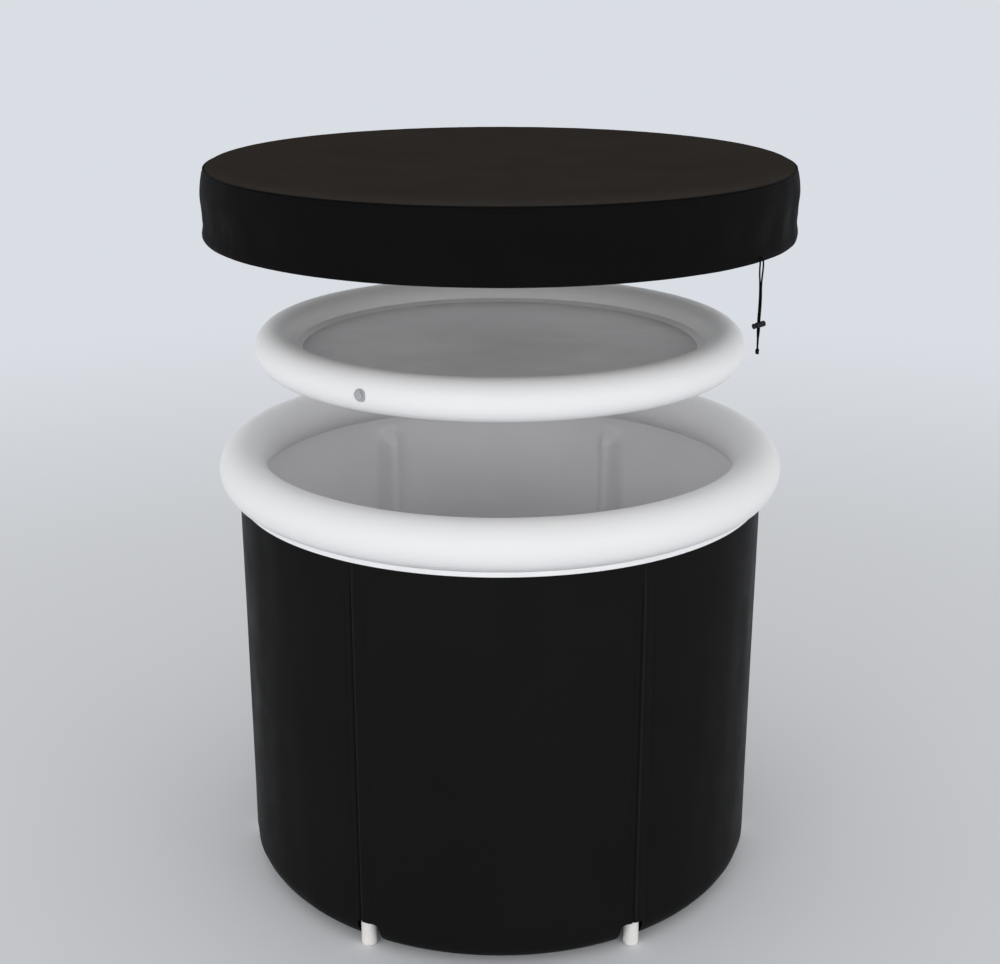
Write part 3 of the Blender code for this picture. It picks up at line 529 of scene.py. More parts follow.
# Each finish: its colour or the name of the setting, its roughness, the size of its patches and their shift of
# tone, the size and height of its fine relief, the relief's pattern and further inputs of the shader
FINISHES = {
    "wall": ("wall", 0.38, 0.15, 0.05, 0.0006, 0.00003, weave_height, LOW_GLOSS),
    "liner": ("liner", 0.42, 0.20, 0.04, 0.003, 0.00004, None, {}),
    "rim": ("rim", 0.42, 0.25, 0.012, 0.002, 0.00002, None, SATIN),
    "weld": ("weld", 0.38, 0.05, 0.03, 0.0016, 0.00005, None, {}),
    "lid_sheet": ("lid_sheet", 0.50, 0.12, 0.06, 0.0016, 0.00004, None, {}),
    "cover_top": ("cover_top", 0.66, 0.15, 0.08, 0.0007, 0.00006, weave_height, MATT),
    "cover_side": ("cover_side", 0.60, 0.15, 0.08, 0.0007, 0.00006, weave_height, DULL),
    "trim": ("trim", 0.66, 0.02, 0.08, 0.0006, 0.00005, weave_height, DULL),
    "cord": ("trim", 0.66, 0.01, 0.08, 0.0013, 0.0002, braid_height, DULL),
    "feet": ("feet", 0.40, 0.02, 0.02, 0.0012, 0.00002, None, {}),
    "valve": ("valve", 0.22, 0.01, 0.05, 0.002, 0.00002, None, {}),
    "foam": ((0.75, 0.75, 0.73), 0.85, 0.05, 0.08, 0.0012, 0.0002, None, {}),
    "sleeve": ((0.030, 0.030, 0.031), 0.70, 0.15, 0.08, 0.0008, 0.00008, weave_height, {}),
    # The liner's outer face, seen only through the notches at the rods' feet, is near black
    "backing": ((0.0035, 0.0035, 0.0035), 0.60, 0.15, 0.08, 0.0010, 0.00004, None, DULL),
    # Lighter than the wall: a painted highlight of the gloss along the raised line beside each rod
    "bead": ((0.0150, 0.0150, 0.0152), 0.40, 0.05, 0.08, 0.0010, 0.00003, None, LOW_GLOSS),
    "drain": ((0.020, 0.020, 0.021), 0.42, 0.01, 0.08, 0.0008, 0.00004, None, {}),
    "rubber": ((0.012, 0.012, 0.012), 0.65, 0.01, 0.08, 0.0006, 0.00005, None, {}),
    "lock": ((0.010, 0.010, 0.011), 0.35, 0.006, 0.08, 0.0005, 0.00003, None, SATIN),
    "spring": ((0.50, 0.50, 0.50), 0.25, 0.003, 0.08, 0.0002, 0.00005, None, METAL),
    "thread": ((0.0045, 0.0045, 0.0048), 0.70, 0.004, 0.08, 0.0003, 0.00004, None, DULL),
}


def new_material(name):
    """A new material, its graph and its surface shader."""
    material = bpy.data.materials.new(name)
    material.use_nodes = True
    return material, Graph(material.node_tree), material.node_tree.nodes["Principled BSDF"]


def finish(name, colour, roughness, patch, shift, grain, relief, pattern, more):
    """A surface with soft patches of colour and roughness, and a fine relief of grain, weave or braid."""
    material, graph, shader = new_material(name)
    place = graph.out("ShaderNodeTexCoord", output="Object")
    tone = graph.mapped(graph.noise(place, 1 / patch, 3.0), NOISE_SPAN, 1 - shift, 1 + shift)
    smooth, dull = max(roughness - ROUGHNESS_SPREAD, LEAST_ROUGHNESS), roughness + ROUGHNESS_SPREAD
    smudges = graph.mapped(graph.noise(place, 3 / patch, 4.0), NOISE_SPAN, smooth, dull)
    if pattern:
        split = graph.add("ShaderNodeSeparateXYZ", {"Vector": graph.out("ShaderNodeUVMap")}).outputs
        height = pattern(graph, split[0], split[1], grain)
    else:
        height = graph.noise(place, 1 / grain, 2.0)
    bump = graph.out("ShaderNodeBump", {"Height": height, "Distance": relief, "Strength": 1.0})
    colours = graph.scaled(tuple(colour), tone)
    for socket, value in {"Base Color": colours, "Roughness": smudges, "Normal": bump, **more}.items():
        graph.put(shader.inputs[socket], value)
    return material


def material_of(name):
    """The material of one of the bathtub's finishes, made the first time it is asked for."""
    label = f"bath_{name}"
    made = bpy.data.materials.get(label)
    if made:
        return made
    colour, *surface = FINISHES[name]
    if isinstance(colour, str):
        colour = getattr(bpy.context.scene.bath_colours, colour)
    return finish(label, colour, *surface)


def paint(obj, material):
    obj.data.materials.clear()
    obj.data.materials.append(material_of(material))


# Meshes

def link(name, data):
    obj = bpy.data.objects.new(name, data)
    bpy.context.scene.collection.objects.link(obj)
    return obj


@contextmanager
def editing(mesh):
    """Opens a mesh for an edit, writes it back and lets it go."""
    bm = bmesh.new()
    bm.from_mesh(mesh)
    yield bm
    bm.to_mesh(mesh)
    bm.free()


def outward_faces(obj):
    """Turns all faces of a closed piece outwards."""
    with editing(obj.data) as bm:
        if bm.calc_volume(signed=True) < 0:
            bmesh.ops.reverse_faces(bm, faces=bm.faces)
    return obj


def plain(obj):
    """Turns what an object's modifiers make into its own mesh, and removes them."""
    graph = bpy.context.evaluated_depsgraph_get()
    mesh = bpy.data.meshes.new_from_object(obj.evaluated_get(graph), depsgraph=graph)
    obj.modifiers.clear()
    obj.data = mesh
    return obj


def combined(obj, operation, others):
    """Joins closed shapes to a piece or cuts them out of it, and removes them."""
    for other in others:
        step = obj.modifiers.new(other.name, "BOOLEAN")
        step.operation = operation
        step.solver = "EXACT"
        step.object = other
    plain(obj)
    for other in others:
        mesh = other.data
        bpy.data.objects.remove(other)
        bpy.data.meshes.remove(mesh)
    return obj


def cut(obj, *cutters):
    return combined(obj, "DIFFERENCE", cutters)


def settle(obj, body, slot, *nodes):
    """Lets a finished piece ride on its body and stand for the nodes that it replaces."""
    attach(obj, body)
    if nodes:
        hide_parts(*nodes)
    return obj


def even_turns(count):
    """Angles at even steps round the Z axis."""
    return np.arange(count) * TURN / count


def ring_at(reach, theta, height):
    """Points at these angles round the Z axis, this far from it and at this height."""
    return np.stack(np.broadcast_arrays(reach * np.cos(theta), reach * np.sin(theta), height), 1)


def skin(name, rows, material, loop=True, flat_uv=False, sharp=50.0, backing=None):
    """A mesh through rings of points, rows by columns by three, with its faces outwards. Each ring closes on itself,
    and with loop the last ring meets the first. A row whose points are all alike is a pole. The UV map is in metres.
    A dark outer face is a second material and the number of first rows that show it."""
    rows = np.asarray(rows, float)
    count, columns = rows.shape[:2]
    vertices, index = [], np.zeros((count, columns), int)
    for r, ring in enumerate(rows):
        pole = np.allclose(ring, ring[0], atol=1e-9)
        index[r] = len(vertices) + (0 if pole else np.arange(columns))
        vertices.extend(ring[:1] if pole else ring)
    steps = np.linalg.norm(np.roll(rows, -1, 1) - rows, axis=2)
    across = np.concatenate([[0], np.cumsum(steps[steps.sum(1).argmax()])])
    down = np.linalg.norm(np.diff(rows[:, 0], axis=0, append=rows[:1, 0]), axis=1)
    along = np.concatenate([[0], np.cumsum(down)])
    faces, uvs = [], []
    for r in range(count if loop else count - 1):
        below = (r + 1) % count
        for c in range(columns):
            n = (c + 1) % columns
            face = {}
            for row, column, v, u in ((r, c, r, c), (below, c, r + 1, c), (below, n, r + 1, c + 1), (r, n, r, c + 1)):
                place = rows[row, column, :2] if flat_uv else (across[u], along[v])
                face.setdefault(index[row, column], place)
            if len(face) > 2:
                faces.append(list(face))
                uvs.extend(face.values())
    mesh = bpy.data.meshes.new(name)
    mesh.from_pydata([tuple(v) for v in vertices], [], faces)
    layer = mesh.uv_layers.new(name="UVMap")
    layer.data.foreach_set("uv", np.array(uvs, np.float32).ravel())
    mesh.shade_smooth()
    mesh.set_sharp_from_angle(angle=math.radians(sharp))
    obj = link(name, mesh)
    if material:
        paint(obj, material)
    if backing:
        mesh.materials.append(material_of(backing[0]))
        covered = backing[1] * columns
        mesh.polygons.foreach_set("material_index", [int(k < covered) for k in range(len(mesh.polygons))])
    return outward_faces(obj)


def rounded(outline, size, closed):
    """The outline with its corners cut back and rounded, where its edges leave room."""
    points = [Vector(p) for p in outline]
    made = []
    for i, corner in enumerate(points):
        if not closed and i in (0, len(points) - 1) or corner.x < 1e-6:
            made.append(tuple(corner))
            continue
        before, after = points[i - 1] - corner, points[(i + 1) % len(points)] - corner
        reach = min(size, before.length * CORNER_SHARE, after.length * CORNER_SHARE)
        start, end = corner + before.normalized() * reach, corner + after.normalized() * reach
        for share in (0.0, 0.33, 0.67, 1.0):
            made.append(tuple(start.lerp(corner, share).lerp(corner.lerp(end, share), share)))
    return made


def lathe(name, outline, material, place=None, sides=SMALL_SIDES, closed=False, rounding=0.0):
    """A piece turned about its own Z axis from an outline of radius and height, listed down its outer side."""
    if rounding:
        outline = rounded(outline, rounding, closed)
    angles = even_turns(sides)
    obj = skin(name, [ring_at(r, angles, z) for r, z in outline], material, loop=closed, sharp=35)
    if place is not None:
        obj.data.transform(place)
    return obj


def disc(name, radii, levels, relief, material):
    """A round cloth with an upper and a lower face; relief gives its height at a radius all round."""
    theta = even_turns(COLUMNS)
    upper, lower = ([ring_at(r, theta, level + relief(r, theta)) for r in radii] for level in levels)
    return skin(name, upper + lower[::-1], material, loop=False, flat_uv=True)


def block(name, low, high):
    """A cutter block between two corners."""
    mesh = bpy.data.meshes.new(name)
    low, high = Vector(low), Vector(high)
    with editing(mesh) as bm:
        bmesh.ops.create_cube(bm, size=1)
        bmesh.ops.scale(bm, vec=high - low, verts=bm.verts)
        bmesh.ops.translate(bm, vec=(low + high) / 2, verts=bm.verts)
    return link(name, mesh)


def tube_mesh(name, points, radius, material, sides=CORD_SIDES):
    """A closed tube with rounded ends along points, with a UV map in metres."""
    points = [Vector(p) for p in points]
    steps = [(b - a).normalized() for a, b in zip(points, points[1:])]
    start, end, cap = steps[0], steps[-1], radius * END_CAP
    tangents = [start] + [(a + b).normalized() for a, b in zip(steps, steps[1:])] + [end]
    spots = [(points[0] - start * cap, start, 0), (points[0] - start * cap * END_REACH, start, radius * END_SIZE)]
    spots += [(point, tangent, radius) for point, tangent in zip(points, tangents)]
    spots += [(points[-1] + end * cap * END_REACH, end, radius * END_SIZE), (points[-1] + end * cap, end, 0)]
    normal = start.orthogonal().normalized()
    rows = []
    for point, tangent, size in spots:
        normal = (normal - tangent * normal.dot(tangent)).normalized()
        side = tangent.cross(normal)
        arms = [normal * math.cos(a) + side * math.sin(a) for a in even_turns(sides)]
        rows.append([tuple(point + arm * size) for arm in arms])
    return skin(name, rows, material, loop=False, sharp=80)


def smooth_path(points, step):
    """Evenly spaced points on a smooth curve through the given points."""
    padded = [2 * points[0] - points[1]] + points + [2 * points[-1] - points[-2]]
    fine = [points[0]]
    for before, start, end, after in zip(padded, padded[1:], padded[2:], padded[3:]):
        for k in range(1, SPLINE_STEPS + 1):
            t = k / SPLINE_STEPS
            curve = 2 * start + (end - before) * t + (2 * before - 5 * start + 4 * end - after) * t**2
            fine.append((curve + (3 * start - before - 3 * end + after) * t**3) / 2)
    line = np.array([tuple(p) for p in fine])
    lengths = np.concatenate([[0], np.cumsum(np.linalg.norm(np.diff(line, axis=0), axis=1))])
    at = np.linspace(0, lengths[-1], max(2, round(lengths[-1] / step) + 1))
    return [Vector(p) for p in np.stack([np.interp(at, lengths, line[:, k]) for k in range(3)], 1)]


def around(turn):
    angle = math.radians(turn)
    return Vector((math.cos(angle), math.sin(angle), 0))


def frame_of(origin, outward, up):
    """A frame at the origin whose Z points outward and whose Y points up."""
    columns = Matrix((up.cross(outward), up, outward)).transposed()
    return Matrix.Translation(origin) @ columns.to_4x4()


# Curves and folds

def smooth_step(value, start, end):
    share = np.clip((value - start) / (end - start), 0, 1)
    return share * share * (3 - 2 * share)


def smooth_curve(at, places, values):
    """A smooth curve through places and values, read at the given places."""
    slopes = np.gradient(values, places)
    i = np.clip(np.searchsorted(places, at) - 1, 0, len(places) - 2)
    places, values = np.asarray(places), np.asarray(values)
    width = places[i + 1] - places[i]
    t = np.clip((at - places[i]) / width, 0, 1)
    start = (1 + 2 * t) * (1 - t) ** 2 * values[i] + t * (1 - t) ** 2 * width * slopes[i]
    return start + t * t * (3 - 2 * t) * values[i + 1] + t * t * (t - 1) * width * slopes[i + 1]


def hump(distance, width, power=2):
    """A soft hump of height 1 that fades out with the distance."""
    return np.exp(-(np.abs(distance / width) ** power))


def gathers(theta, height, count, sway, sways):
    """Small folds all round, which crowd together and spread again some times round."""
    return height * np.sin(count * theta + sway * np.sin(sways * theta))


def waves(theta, height, size, seed, count, lean=1.0):
    """Soft folds: a fixed sum of waves that closes round the tub, about as high as size."""
    rng = np.random.default_rng(seed)
    total = np.zeros(np.broadcast(theta, height).shape)
    for _ in range(count):
        turns = rng.integers(*WAVE_TURNS)
        tilt = rng.uniform(-1, 1) * WAVE_TILT * lean
        total = total + rng.uniform(LEAST_WAVE, 1) * np.sin(turns * theta + tilt * height + rng.uniform(0, TURN))
    return size * total / math.sqrt(count)


# Geometry trees

SOCKETS = {float: "NodeSocketFloat", int: "NodeSocketInt"}
WELD_SPREAD = 0.45
GATHER_NOISE = 9.0
WAVE_NOISE = 5.0
STITCH_SHARE = 0.75


def tree_with(name, inputs):
    """A geometry tree with these named inputs and a material: its graph and the sockets of its inputs."""
    tree = bpy.data.node_groups.new(name, "GeometryNodeTree")
    tree.interface.new_socket("Geometry", in_out="INPUT", socket_type="NodeSocketGeometry")
    for label, value in inputs.items():
        tree.interface.new_socket(label, in_out="INPUT", socket_type=SOCKETS[type(value)]).default_value = value
    tree.interface.new_socket("Material", in_out="INPUT", socket_type="NodeSocketMaterial")
    tree.interface.new_socket("Geometry", in_out="OUTPUT", socket_type="NodeSocketGeometry")
    graph = Graph(tree)
    return graph, graph.add("NodeGroupInput").outputs


def end_tree(graph, given, geometry):
    """Realizes what the tree made, smooths it and gives it its material."""
    real = graph.out("GeometryNodeRealizeInstances", {"Geometry": geometry})
    smooth = graph.out("GeometryNodeSetShadeSmooth", {"Geometry": real})
    painted = graph.out("GeometryNodeSetMaterial", {"Geometry": smooth, "Material": given["Material"]})
    graph.add("NodeGroupOutput", {0: painted})
    return graph.tree


def inflated_ring_tree():
    """A tube of film bent to a ring, with soft waves and small gathers along its weld."""
    sizes = {"Ring radius": 0.43, "Tube radius": 0.039, "Height": 0.711, "Wave": 0.0005}
    folds = {"Gather": 0.0004, "Gathers round": 96.0, "Weld angle": -math.pi / 2}
    graph, given = tree_with("Inflated ring", {**sizes, **folds, "Columns": COLUMNS, "Sides": RING_SIDES})
    calc, circle = graph.math, "GeometryNodeCurvePrimitiveCircle"
    line = graph.out(circle, {"Resolution": given["Columns"], "Radius": given["Ring radius"]})
    section = graph.out(circle, {"Resolution": given["Sides"], "Radius": given["Tube radius"]})
    tube = graph.out("GeometryNodeCurveToMesh", {"Curve": line, "Profile Curve": section})
    position = graph.out("GeometryNodeInputPosition")
    x, y, z = graph.add("ShaderNodeSeparateXYZ", {"Vector": position}).outputs
    reach = calc("SQRT", calc("ADD", calc("MULTIPLY", x, x), calc("MULTIPLY", y, y)))
    angle = calc("ARCTAN2", z, calc("SUBTRACT", reach, given["Ring radius"]))
    off_weld = calc("DIVIDE", calc("SUBTRACT", angle, given["Weld angle"]), WELD_SPREAD)
    near_weld = calc("EXPONENT", calc("MULTIPLY", calc("MULTIPLY", off_weld, off_weld), -1.0))
    teeth = calc("SINE", calc("MULTIPLY", calc("ARCTAN2", y, x), given["Gathers round"]))
    gathered = calc("MULTIPLY", calc("MULTIPLY", teeth, near_weld), given["Gather"])
    gathered = calc("MULTIPLY", gathered, graph.noise(position, GATHER_NOISE, 1.0))
    soft = calc("SUBTRACT", graph.noise(position, WAVE_NOISE, 1.0), 0.5)
    soft = calc("MULTIPLY", soft, calc("MULTIPLY", given["Wave"], 2.0))
    offset = graph.scaled(graph.out("GeometryNodeInputNormal"), calc("ADD", soft, gathered))
    lift = graph.out("ShaderNodeCombineXYZ", {"Z": given["Height"]})
    moved = {"Geometry": tube, "Offset": graph.vector("ADD", offset, lift)}
    return end_tree(graph, given, graph.out("GeometryNodeSetPosition", moved))


def repeat_tree():
    """Copies of a shape at even turns about the Z axis."""
    graph, given = tree_with("Repeat round", {"Count": ROD_COUNT})
    index = graph.out("GeometryNodeInputIndex")
    turn = graph.math("DIVIDE", graph.math("MULTIPLY", index, TURN), given["Count"])
    rotation = graph.out("FunctionNodeEulerToRotation", {"Euler": graph.out("ShaderNodeCombineXYZ", {"Z": turn})})
    copies = {
        "Points": graph.out("GeometryNodePoints", {"Count": given["Count"]}),
        "Instance": given["Geometry"],
        "Rotation": rotation,
    }
    return end_tree(graph, given, graph.out("GeometryNodeInstanceOnPoints", copies))


def stitch_tree():
    """Stitches of thread along a line of edges, lying on a round surface."""
    graph, given = tree_with("Stitch row", {"Pitch": 0.0042, "Length": 0.0032, "Thread": 0.0005})
    line = graph.out("GeometryNodeMeshToCurve", {"Mesh": given["Geometry"]})
    even = graph.out("GeometryNodeResampleCurve", {"Curve": line, "Length": given["Pitch"]}, mode="LENGTH")
    bead = graph.out("GeometryNodeMeshUVSphere", {"Segments": 6, "Rings": 4, "Radius": 0.5})
    size = graph.out("ShaderNodeCombineXYZ", {"X": given["Length"], "Y": given["Thread"], "Z": given["Thread"]})
    outward = graph.vector("MULTIPLY", graph.out("GeometryNodeInputPosition"), (1.0, 1.0, 0.0))
    align, tangent = "FunctionNodeAlignRotationToVector", graph.out("GeometryNodeInputTangent")
    along = graph.out(align, {"Vector": tangent}, axis="X")
    copies = {
        "Points": even,
        "Instance": graph.out("GeometryNodeTransform", {"Geometry": bead, "Scale": size}),
        "Rotation": graph.out(align, {"Vector": outward, "Rotation": along}, axis="Z", pivot_axis="X"),
    }
    return end_tree(graph, given, graph.out("GeometryNodeInstanceOnPoints", copies))


TREES = {"ring": inflated_ring_tree, "repeat": repeat_tree, "stitch": stitch_tree}


def grown(obj, kind, material, **values):
    """Runs one of the geometry trees on an object and keeps its result as a plain mesh."""
    label = f"bath_{kind}"
    tree = bpy.data.node_groups.get(label)
    if tree is None:
        tree = TREES[kind]()
        tree.name = label
    step = obj.modifiers.new(kind, "NODES")
    step.node_group = tree
    named = {item.name: item.identifier for item in tree.interface.items_tree if item.in_out == "INPUT"}
    for name, value in values.items():
        step[named[name.replace("_", " ")]] = value
    step[named["Material"]] = material_of(material)
    return plain(obj)


def stitches(name, lines, closed, sizes):
    """Rows of sewing stitches along lines of points, of which the first few are closed."""
    vertices, edges = [], []
    for row, line in enumerate(lines):
        first, count = len(vertices), len(line)
        vertices.extend(tuple(p) for p in line)
        edges.extend((first + i, first + i + 1) for i in range(count - 1))
        if row < closed:
            edges.append((first + count - 1, first))
    mesh = bpy.data.meshes.new(name)
    mesh.from_pydata(vertices, edges, [])
    pitch = sizes.stitch_pitch
    return grown(link(name, mesh), "stitch", "thread", Pitch=pitch, Length=pitch * STITCH_SHARE, Thread=sizes.thread)


# Stage

def make_camera():
    data = bpy.data.cameras.new("photo_camera")
    data.sensor_width = SENSOR
    data.lens = SENSOR * FOCAL_SHARE
    camera = link("photo_camera", data)
    camera.location = CAMERA_PLACE
    camera.rotation_euler = (math.radians(90 - CAMERA_DIP), 0, 0)
    bpy.context.scene.camera = camera


def make_light(name, place, target, width, height, power):
    data = bpy.data.lights.new(name, "AREA")
    data.shape = "RECTANGLE"
    data.size, data.size_y = width, height
    data.energy = power
    light = link(name, data)
    light.location = place
    light.rotation_euler = (Vector(target) - Vector(place)).to_track_quat("-Z", "Y").to_euler()


def make_floor():
    """A wide pale floor that fades into the backdrop's colour away from the tub."""
    mesh, r = bpy.data.meshes.new("studio_floor"), FLOOR_REACH
    mesh.from_pydata([(-r, -r, 0), (r, -r, 0), (r, r, 0), (-r, r, 0)], [], [(0, 1, 2, 3)])
    floor = link("studio_floor", mesh)
    floor.location.z = -FLOOR_DROP
    material, graph, shader = new_material("studio_floor")
    shader.inputs["Base Color"].default_value = (*FLOOR_COLOUR, 1)
    shader.inputs["Roughness"].default_value = FLOOR_ROUGHNESS
    distance = graph.vector("LENGTH", graph.out("ShaderNodeTexCoord", output="Object"), output="Value")
    far = graph.mapped(distance, FLOOR_FADE, kind="SMOOTHSTEP")
    glow = graph.out("ShaderNodeEmission", {"Color": (*BACK_COLOUR, 1), "Strength": 1.0})
    surface = material.node_tree.nodes["Material Output"].inputs["Surface"]
    graph.put(surface, graph.mixed(far, shader.outputs[0], glow))
    mesh.materials.append(material)


def make_world():
    """Soft light from all round, stronger near the horizon; the camera, gloss and clear pieces see the backdrop."""
    world = bpy.data.worlds.new("studio")
    bpy.context.scene.world = world
    world.use_nodes = True
    graph, nodes = Graph(world.node_tree), world.node_tree.nodes
    path = graph.add("ShaderNodeLightPath").outputs
    seen = graph.math("MAXIMUM", path["Is Camera Ray"], path["Is Glossy Ray"])
    seen = graph.math("MAXIMUM", seen, path["Is Transmission Ray"])
    direction = graph.out("ShaderNodeTexCoord", output="Generated")
    height = graph.out("ShaderNodeSeparateXYZ", {"Vector": direction}, output="Z")
    light = nodes["Background"]
    light.inputs["Color"].default_value = (1, 1, 1, 1)
    graph.put(light.inputs["Strength"], graph.mapped(height, SKY_FADE, SKY_LOW, SKY_HIGH, "SMOOTHSTEP"))
    back = graph.out("ShaderNodeBackground", {"Color": (*BACK_COLOUR, 1), "Strength": 1.0})
    graph.put(nodes["World Output"].inputs["Surface"], graph.mixed(seen, light.outputs[0], back))


class BATH_OT_stage(bpy.types.Operator):
    """Makes the camera, the soft lights and the pale floor"""

    bl_idname = "bath.stage"
    bl_label = "Stage"

    def execute(self, context):
        context.scene.view_settings.view_transform = "Standard"
        make_camera()
        make_world()
        for name, setting in SOFT_LIGHTS.items():
            make_light(name, *setting)
        make_floor()
        return {"FINISHED"}


# Drawcord

def exit_frame():
    """Frame of the drawcord's exit: X round the hem, Y inwards, on the hem's outer face."""
    outward = around(CORD_EXIT_TURN)
    columns = Matrix((UP.cross(outward), -outward, UP)).transposed()
    place = outward * (COVER_INNER + HEM_THICKNESS) + UP * HEM_MIDDLE
    return Matrix.Translation(place) @ columns.to_4x4()


def route_point(sideways, outward, drop):
    return exit_frame() @ Vector((sideways, -outward, -drop))


def knot_path():
    """The turns of a stopper knot round both strands."""
    top = route_point(*KNOT_PLACE)
    points = []
    for share in np.linspace(0, 1, KNOT_TURNS * KNOT_STEPS + 1):
        angle = TURN * KNOT_TURNS * share
        reach = KNOT_RADIUS * (KNOT_REACH + KNOT_SWELL * math.sin(math.pi * share))
        drop = KNOT_RADIUS * KNOT_START + (KNOT_HEIGHT - KNOT_RADIUS) * share
        points.append(top + Vector((reach * math.cos(angle), reach * math.sin(angle), -drop)))
    return points


def make_strands():
    for side, strand in STRANDS.items():
        places = [route_point(*place) for place in strand]
        path = places[:1] + smooth_path(places[1:], CORD_STEP)
        obj = tube_mesh(f"cord_strand_{side}", path, CORD_RADIUS, "cord")
        settle(obj, "cover", "cord", f"drawcord_{side}")


def make_lock():
    """The cord lock: a barrel closed at one end and a plunger with a round head, both with a slot for the cord."""
    turn, tilt = math.radians(LOCK_TURN), math.radians(LOCK_TILT)
    level, lean = math.cos(tilt), math.tan(tilt)
    axis = exit_frame().to_3x3() @ Vector((-math.cos(turn) * level, math.sin(turn) * level, -math.sin(tilt)))
    place = route_point(*LOCK_PLACE)
    axes = frame_of(place, axis, UP.cross(axis).normalized())
    slot_half = STRAND_SPACING / 2 + CORD_RADIUS + GAP
    radius, groove, dome = LOCK_RADIUS, LOCK_RADIUS * 0.06, LOCK_RADIUS * 0.55
    bore = radius - LOCK_WALL
    plunger = bore - GAP
    mouth = slot_half / level + radius * lean + LOCK_MOUTH
    plunger_in = -slot_half / level - plunger * lean - PLUNGER_END
    bore_end = plunger_in - GAP - LOCK_TRAVEL - SPRING_SPACE
    closed = bore_end - LOCK_END_WALL
    outer = [(0, bore_end), (bore, bore_end), (bore, mouth), (radius - groove, mouth), (radius, mouth - 3 * groove)]
    outer += [(radius, closed + radius * 0.42), (radius * 0.9, closed + radius * 0.2), (dome, closed + groove)]
    barrel = lathe("cord_lock_barrel", outer + [(0, closed)], "lock", axes)
    head_in, head_out = mouth + BUTTON_NECK, mouth + BUTTON_NECK + BUTTON_HEAD
    head = [(0, head_out), (dome, head_out - groove), (radius * 0.88, head_out - radius * 0.22)]
    head += [(radius, head_out - radius * 0.45), (radius, head_in + groove * 2), (radius - groove * 2, head_in)]
    head += [(plunger, head_in), (plunger, plunger_in), (0, plunger_in)]
    button = lathe("cord_lock_plunger", head, "lock", axes)
    upright = frame_of(place, UP, UP.cross(Vector((axis.x, axis.y, 0)).normalized()))
    thick, high = CORD_RADIUS + GAP, radius * 2
    for piece, more in ((barrel, 0), (button, LOCK_TRAVEL * level)):
        slot = block("lock_slot", (-slot_half, -thick, -high), (slot_half + more, thick, high))
        slot.data.transform(upright)
        cut(piece, slot)
    settle(barrel, "cover", "lock_plastic", "cord_lock_body")
    settle(button, "lock_button", "lock_plastic", "cord_lock_button")


class BATH_OT_drawcord(bpy.types.Operator):
    """Makes the drawcord's two strands, the cord lock and the stopper knot"""

    bl_idname = "bath.drawcord"
    bl_label = "Drawcord"

    def execute(self, context):
        knot = tube_mesh("cord_stopper_knot", knot_path(), KNOT_RADIUS * KNOT_CORD, "cord")
        settle(knot, "cover", "cord", "cord_knot")
        make_lock()
        make_strands()
        paint(NODES["cord_lock_spring"], "spring")
        return {"FINISHED"}


# Tub

def to_rod(theta):
    """Distance round the wall to the nearest rod, with its sign."""
    step = TURN / ROD_COUNT
    return ((theta + step / 2) % step - step / 2) * WALL_RADIUS


def wall_profile(offset):
    """Radius, height and share of the wall at each row, this far inside the outer face, from the top down."""
    rounding = BASE_ROUNDING - offset
    finer = ROD_TOP - FINE_ROWS_REACH
    heights = np.linspace(WALL_TOP, finer, UPPER_ROWS, endpoint=False).tolist()
    heights += np.linspace(finer, BASE_ROUNDING, LOWER_ROWS, endpoint=False).tolist()
    rows = [(WALL_RADIUS - offset, height, 1.0) for height in heights]
    for angle in np.linspace(0, math.pi / 2, ROUNDING_ROWS):
        radius = BASE_EDGE + rounding * math.cos(angle)
        rows.append((radius, BASE_ROUNDING - rounding * math.sin(angle), (radius - BASE_EDGE) / rounding))
    return rows


def wall_relief(theta, height, fold):
    """How far the outer wall stands out: soft folds, the rods' bulges and the seams beside them."""
    aside = to_rod(theta)
    dents = hump(aside, BULGE_WIDTH, 4) * BULGE - hump(aside - CREASE_ASIDE, CREASE_WIDTH) * CREASE
    dents = dents - hump(np.abs(aside) - SLEEVE_SEAM_ASIDE, SLEEVE_SEAM_WIDTH) * SLEEVE_SEAM
    dents = dents * smooth_step(height, ROD_TOP + ROD_TOP_FADE, ROD_TOP) * smooth_step(height, 0.0, ROD_FOOT_FADE)
    fade = smooth_step(height, WALL_TOP, WALL_TOP - WALL_TOP_FADE) * smooth_step(height, *WALL_FOOT_FADE)
    return dents + waves(theta, height, fold, *WALL_WAVES) * fade


def ridge(theta, height, share):
    """How far the soft layers are pushed in over a rod."""
    across = RIDGE_DEPTH * hump(to_rod(theta), RIDGE_WIDTH, RIDGE_POWER)
    return -across * smooth_step(height, WALL_TOP - RIDGE_FADE, ROD_TOP + RIDGE_RISE) * share


def shell_rows(profile, relief=None):
    """Rows round the wall through a profile of radius, height and share, with columns closer over the rods."""
    sector = TURN / ROD_COUNT
    over_rod = np.arange(-ROD_COLUMNS, ROD_COLUMNS + 1) * ROD_COLUMN_STEP / WALL_RADIUS
    one = np.concatenate([over_rod, np.linspace(over_rod[-1], sector + over_rod[0], BETWEEN_COLUMNS)[1:-1]])
    theta = np.concatenate([one + sector * index for index in range(ROD_COUNT)])
    return [ring_at(r + (relief(theta, z, share) if relief else 0), theta, z) for r, z, share in profile]


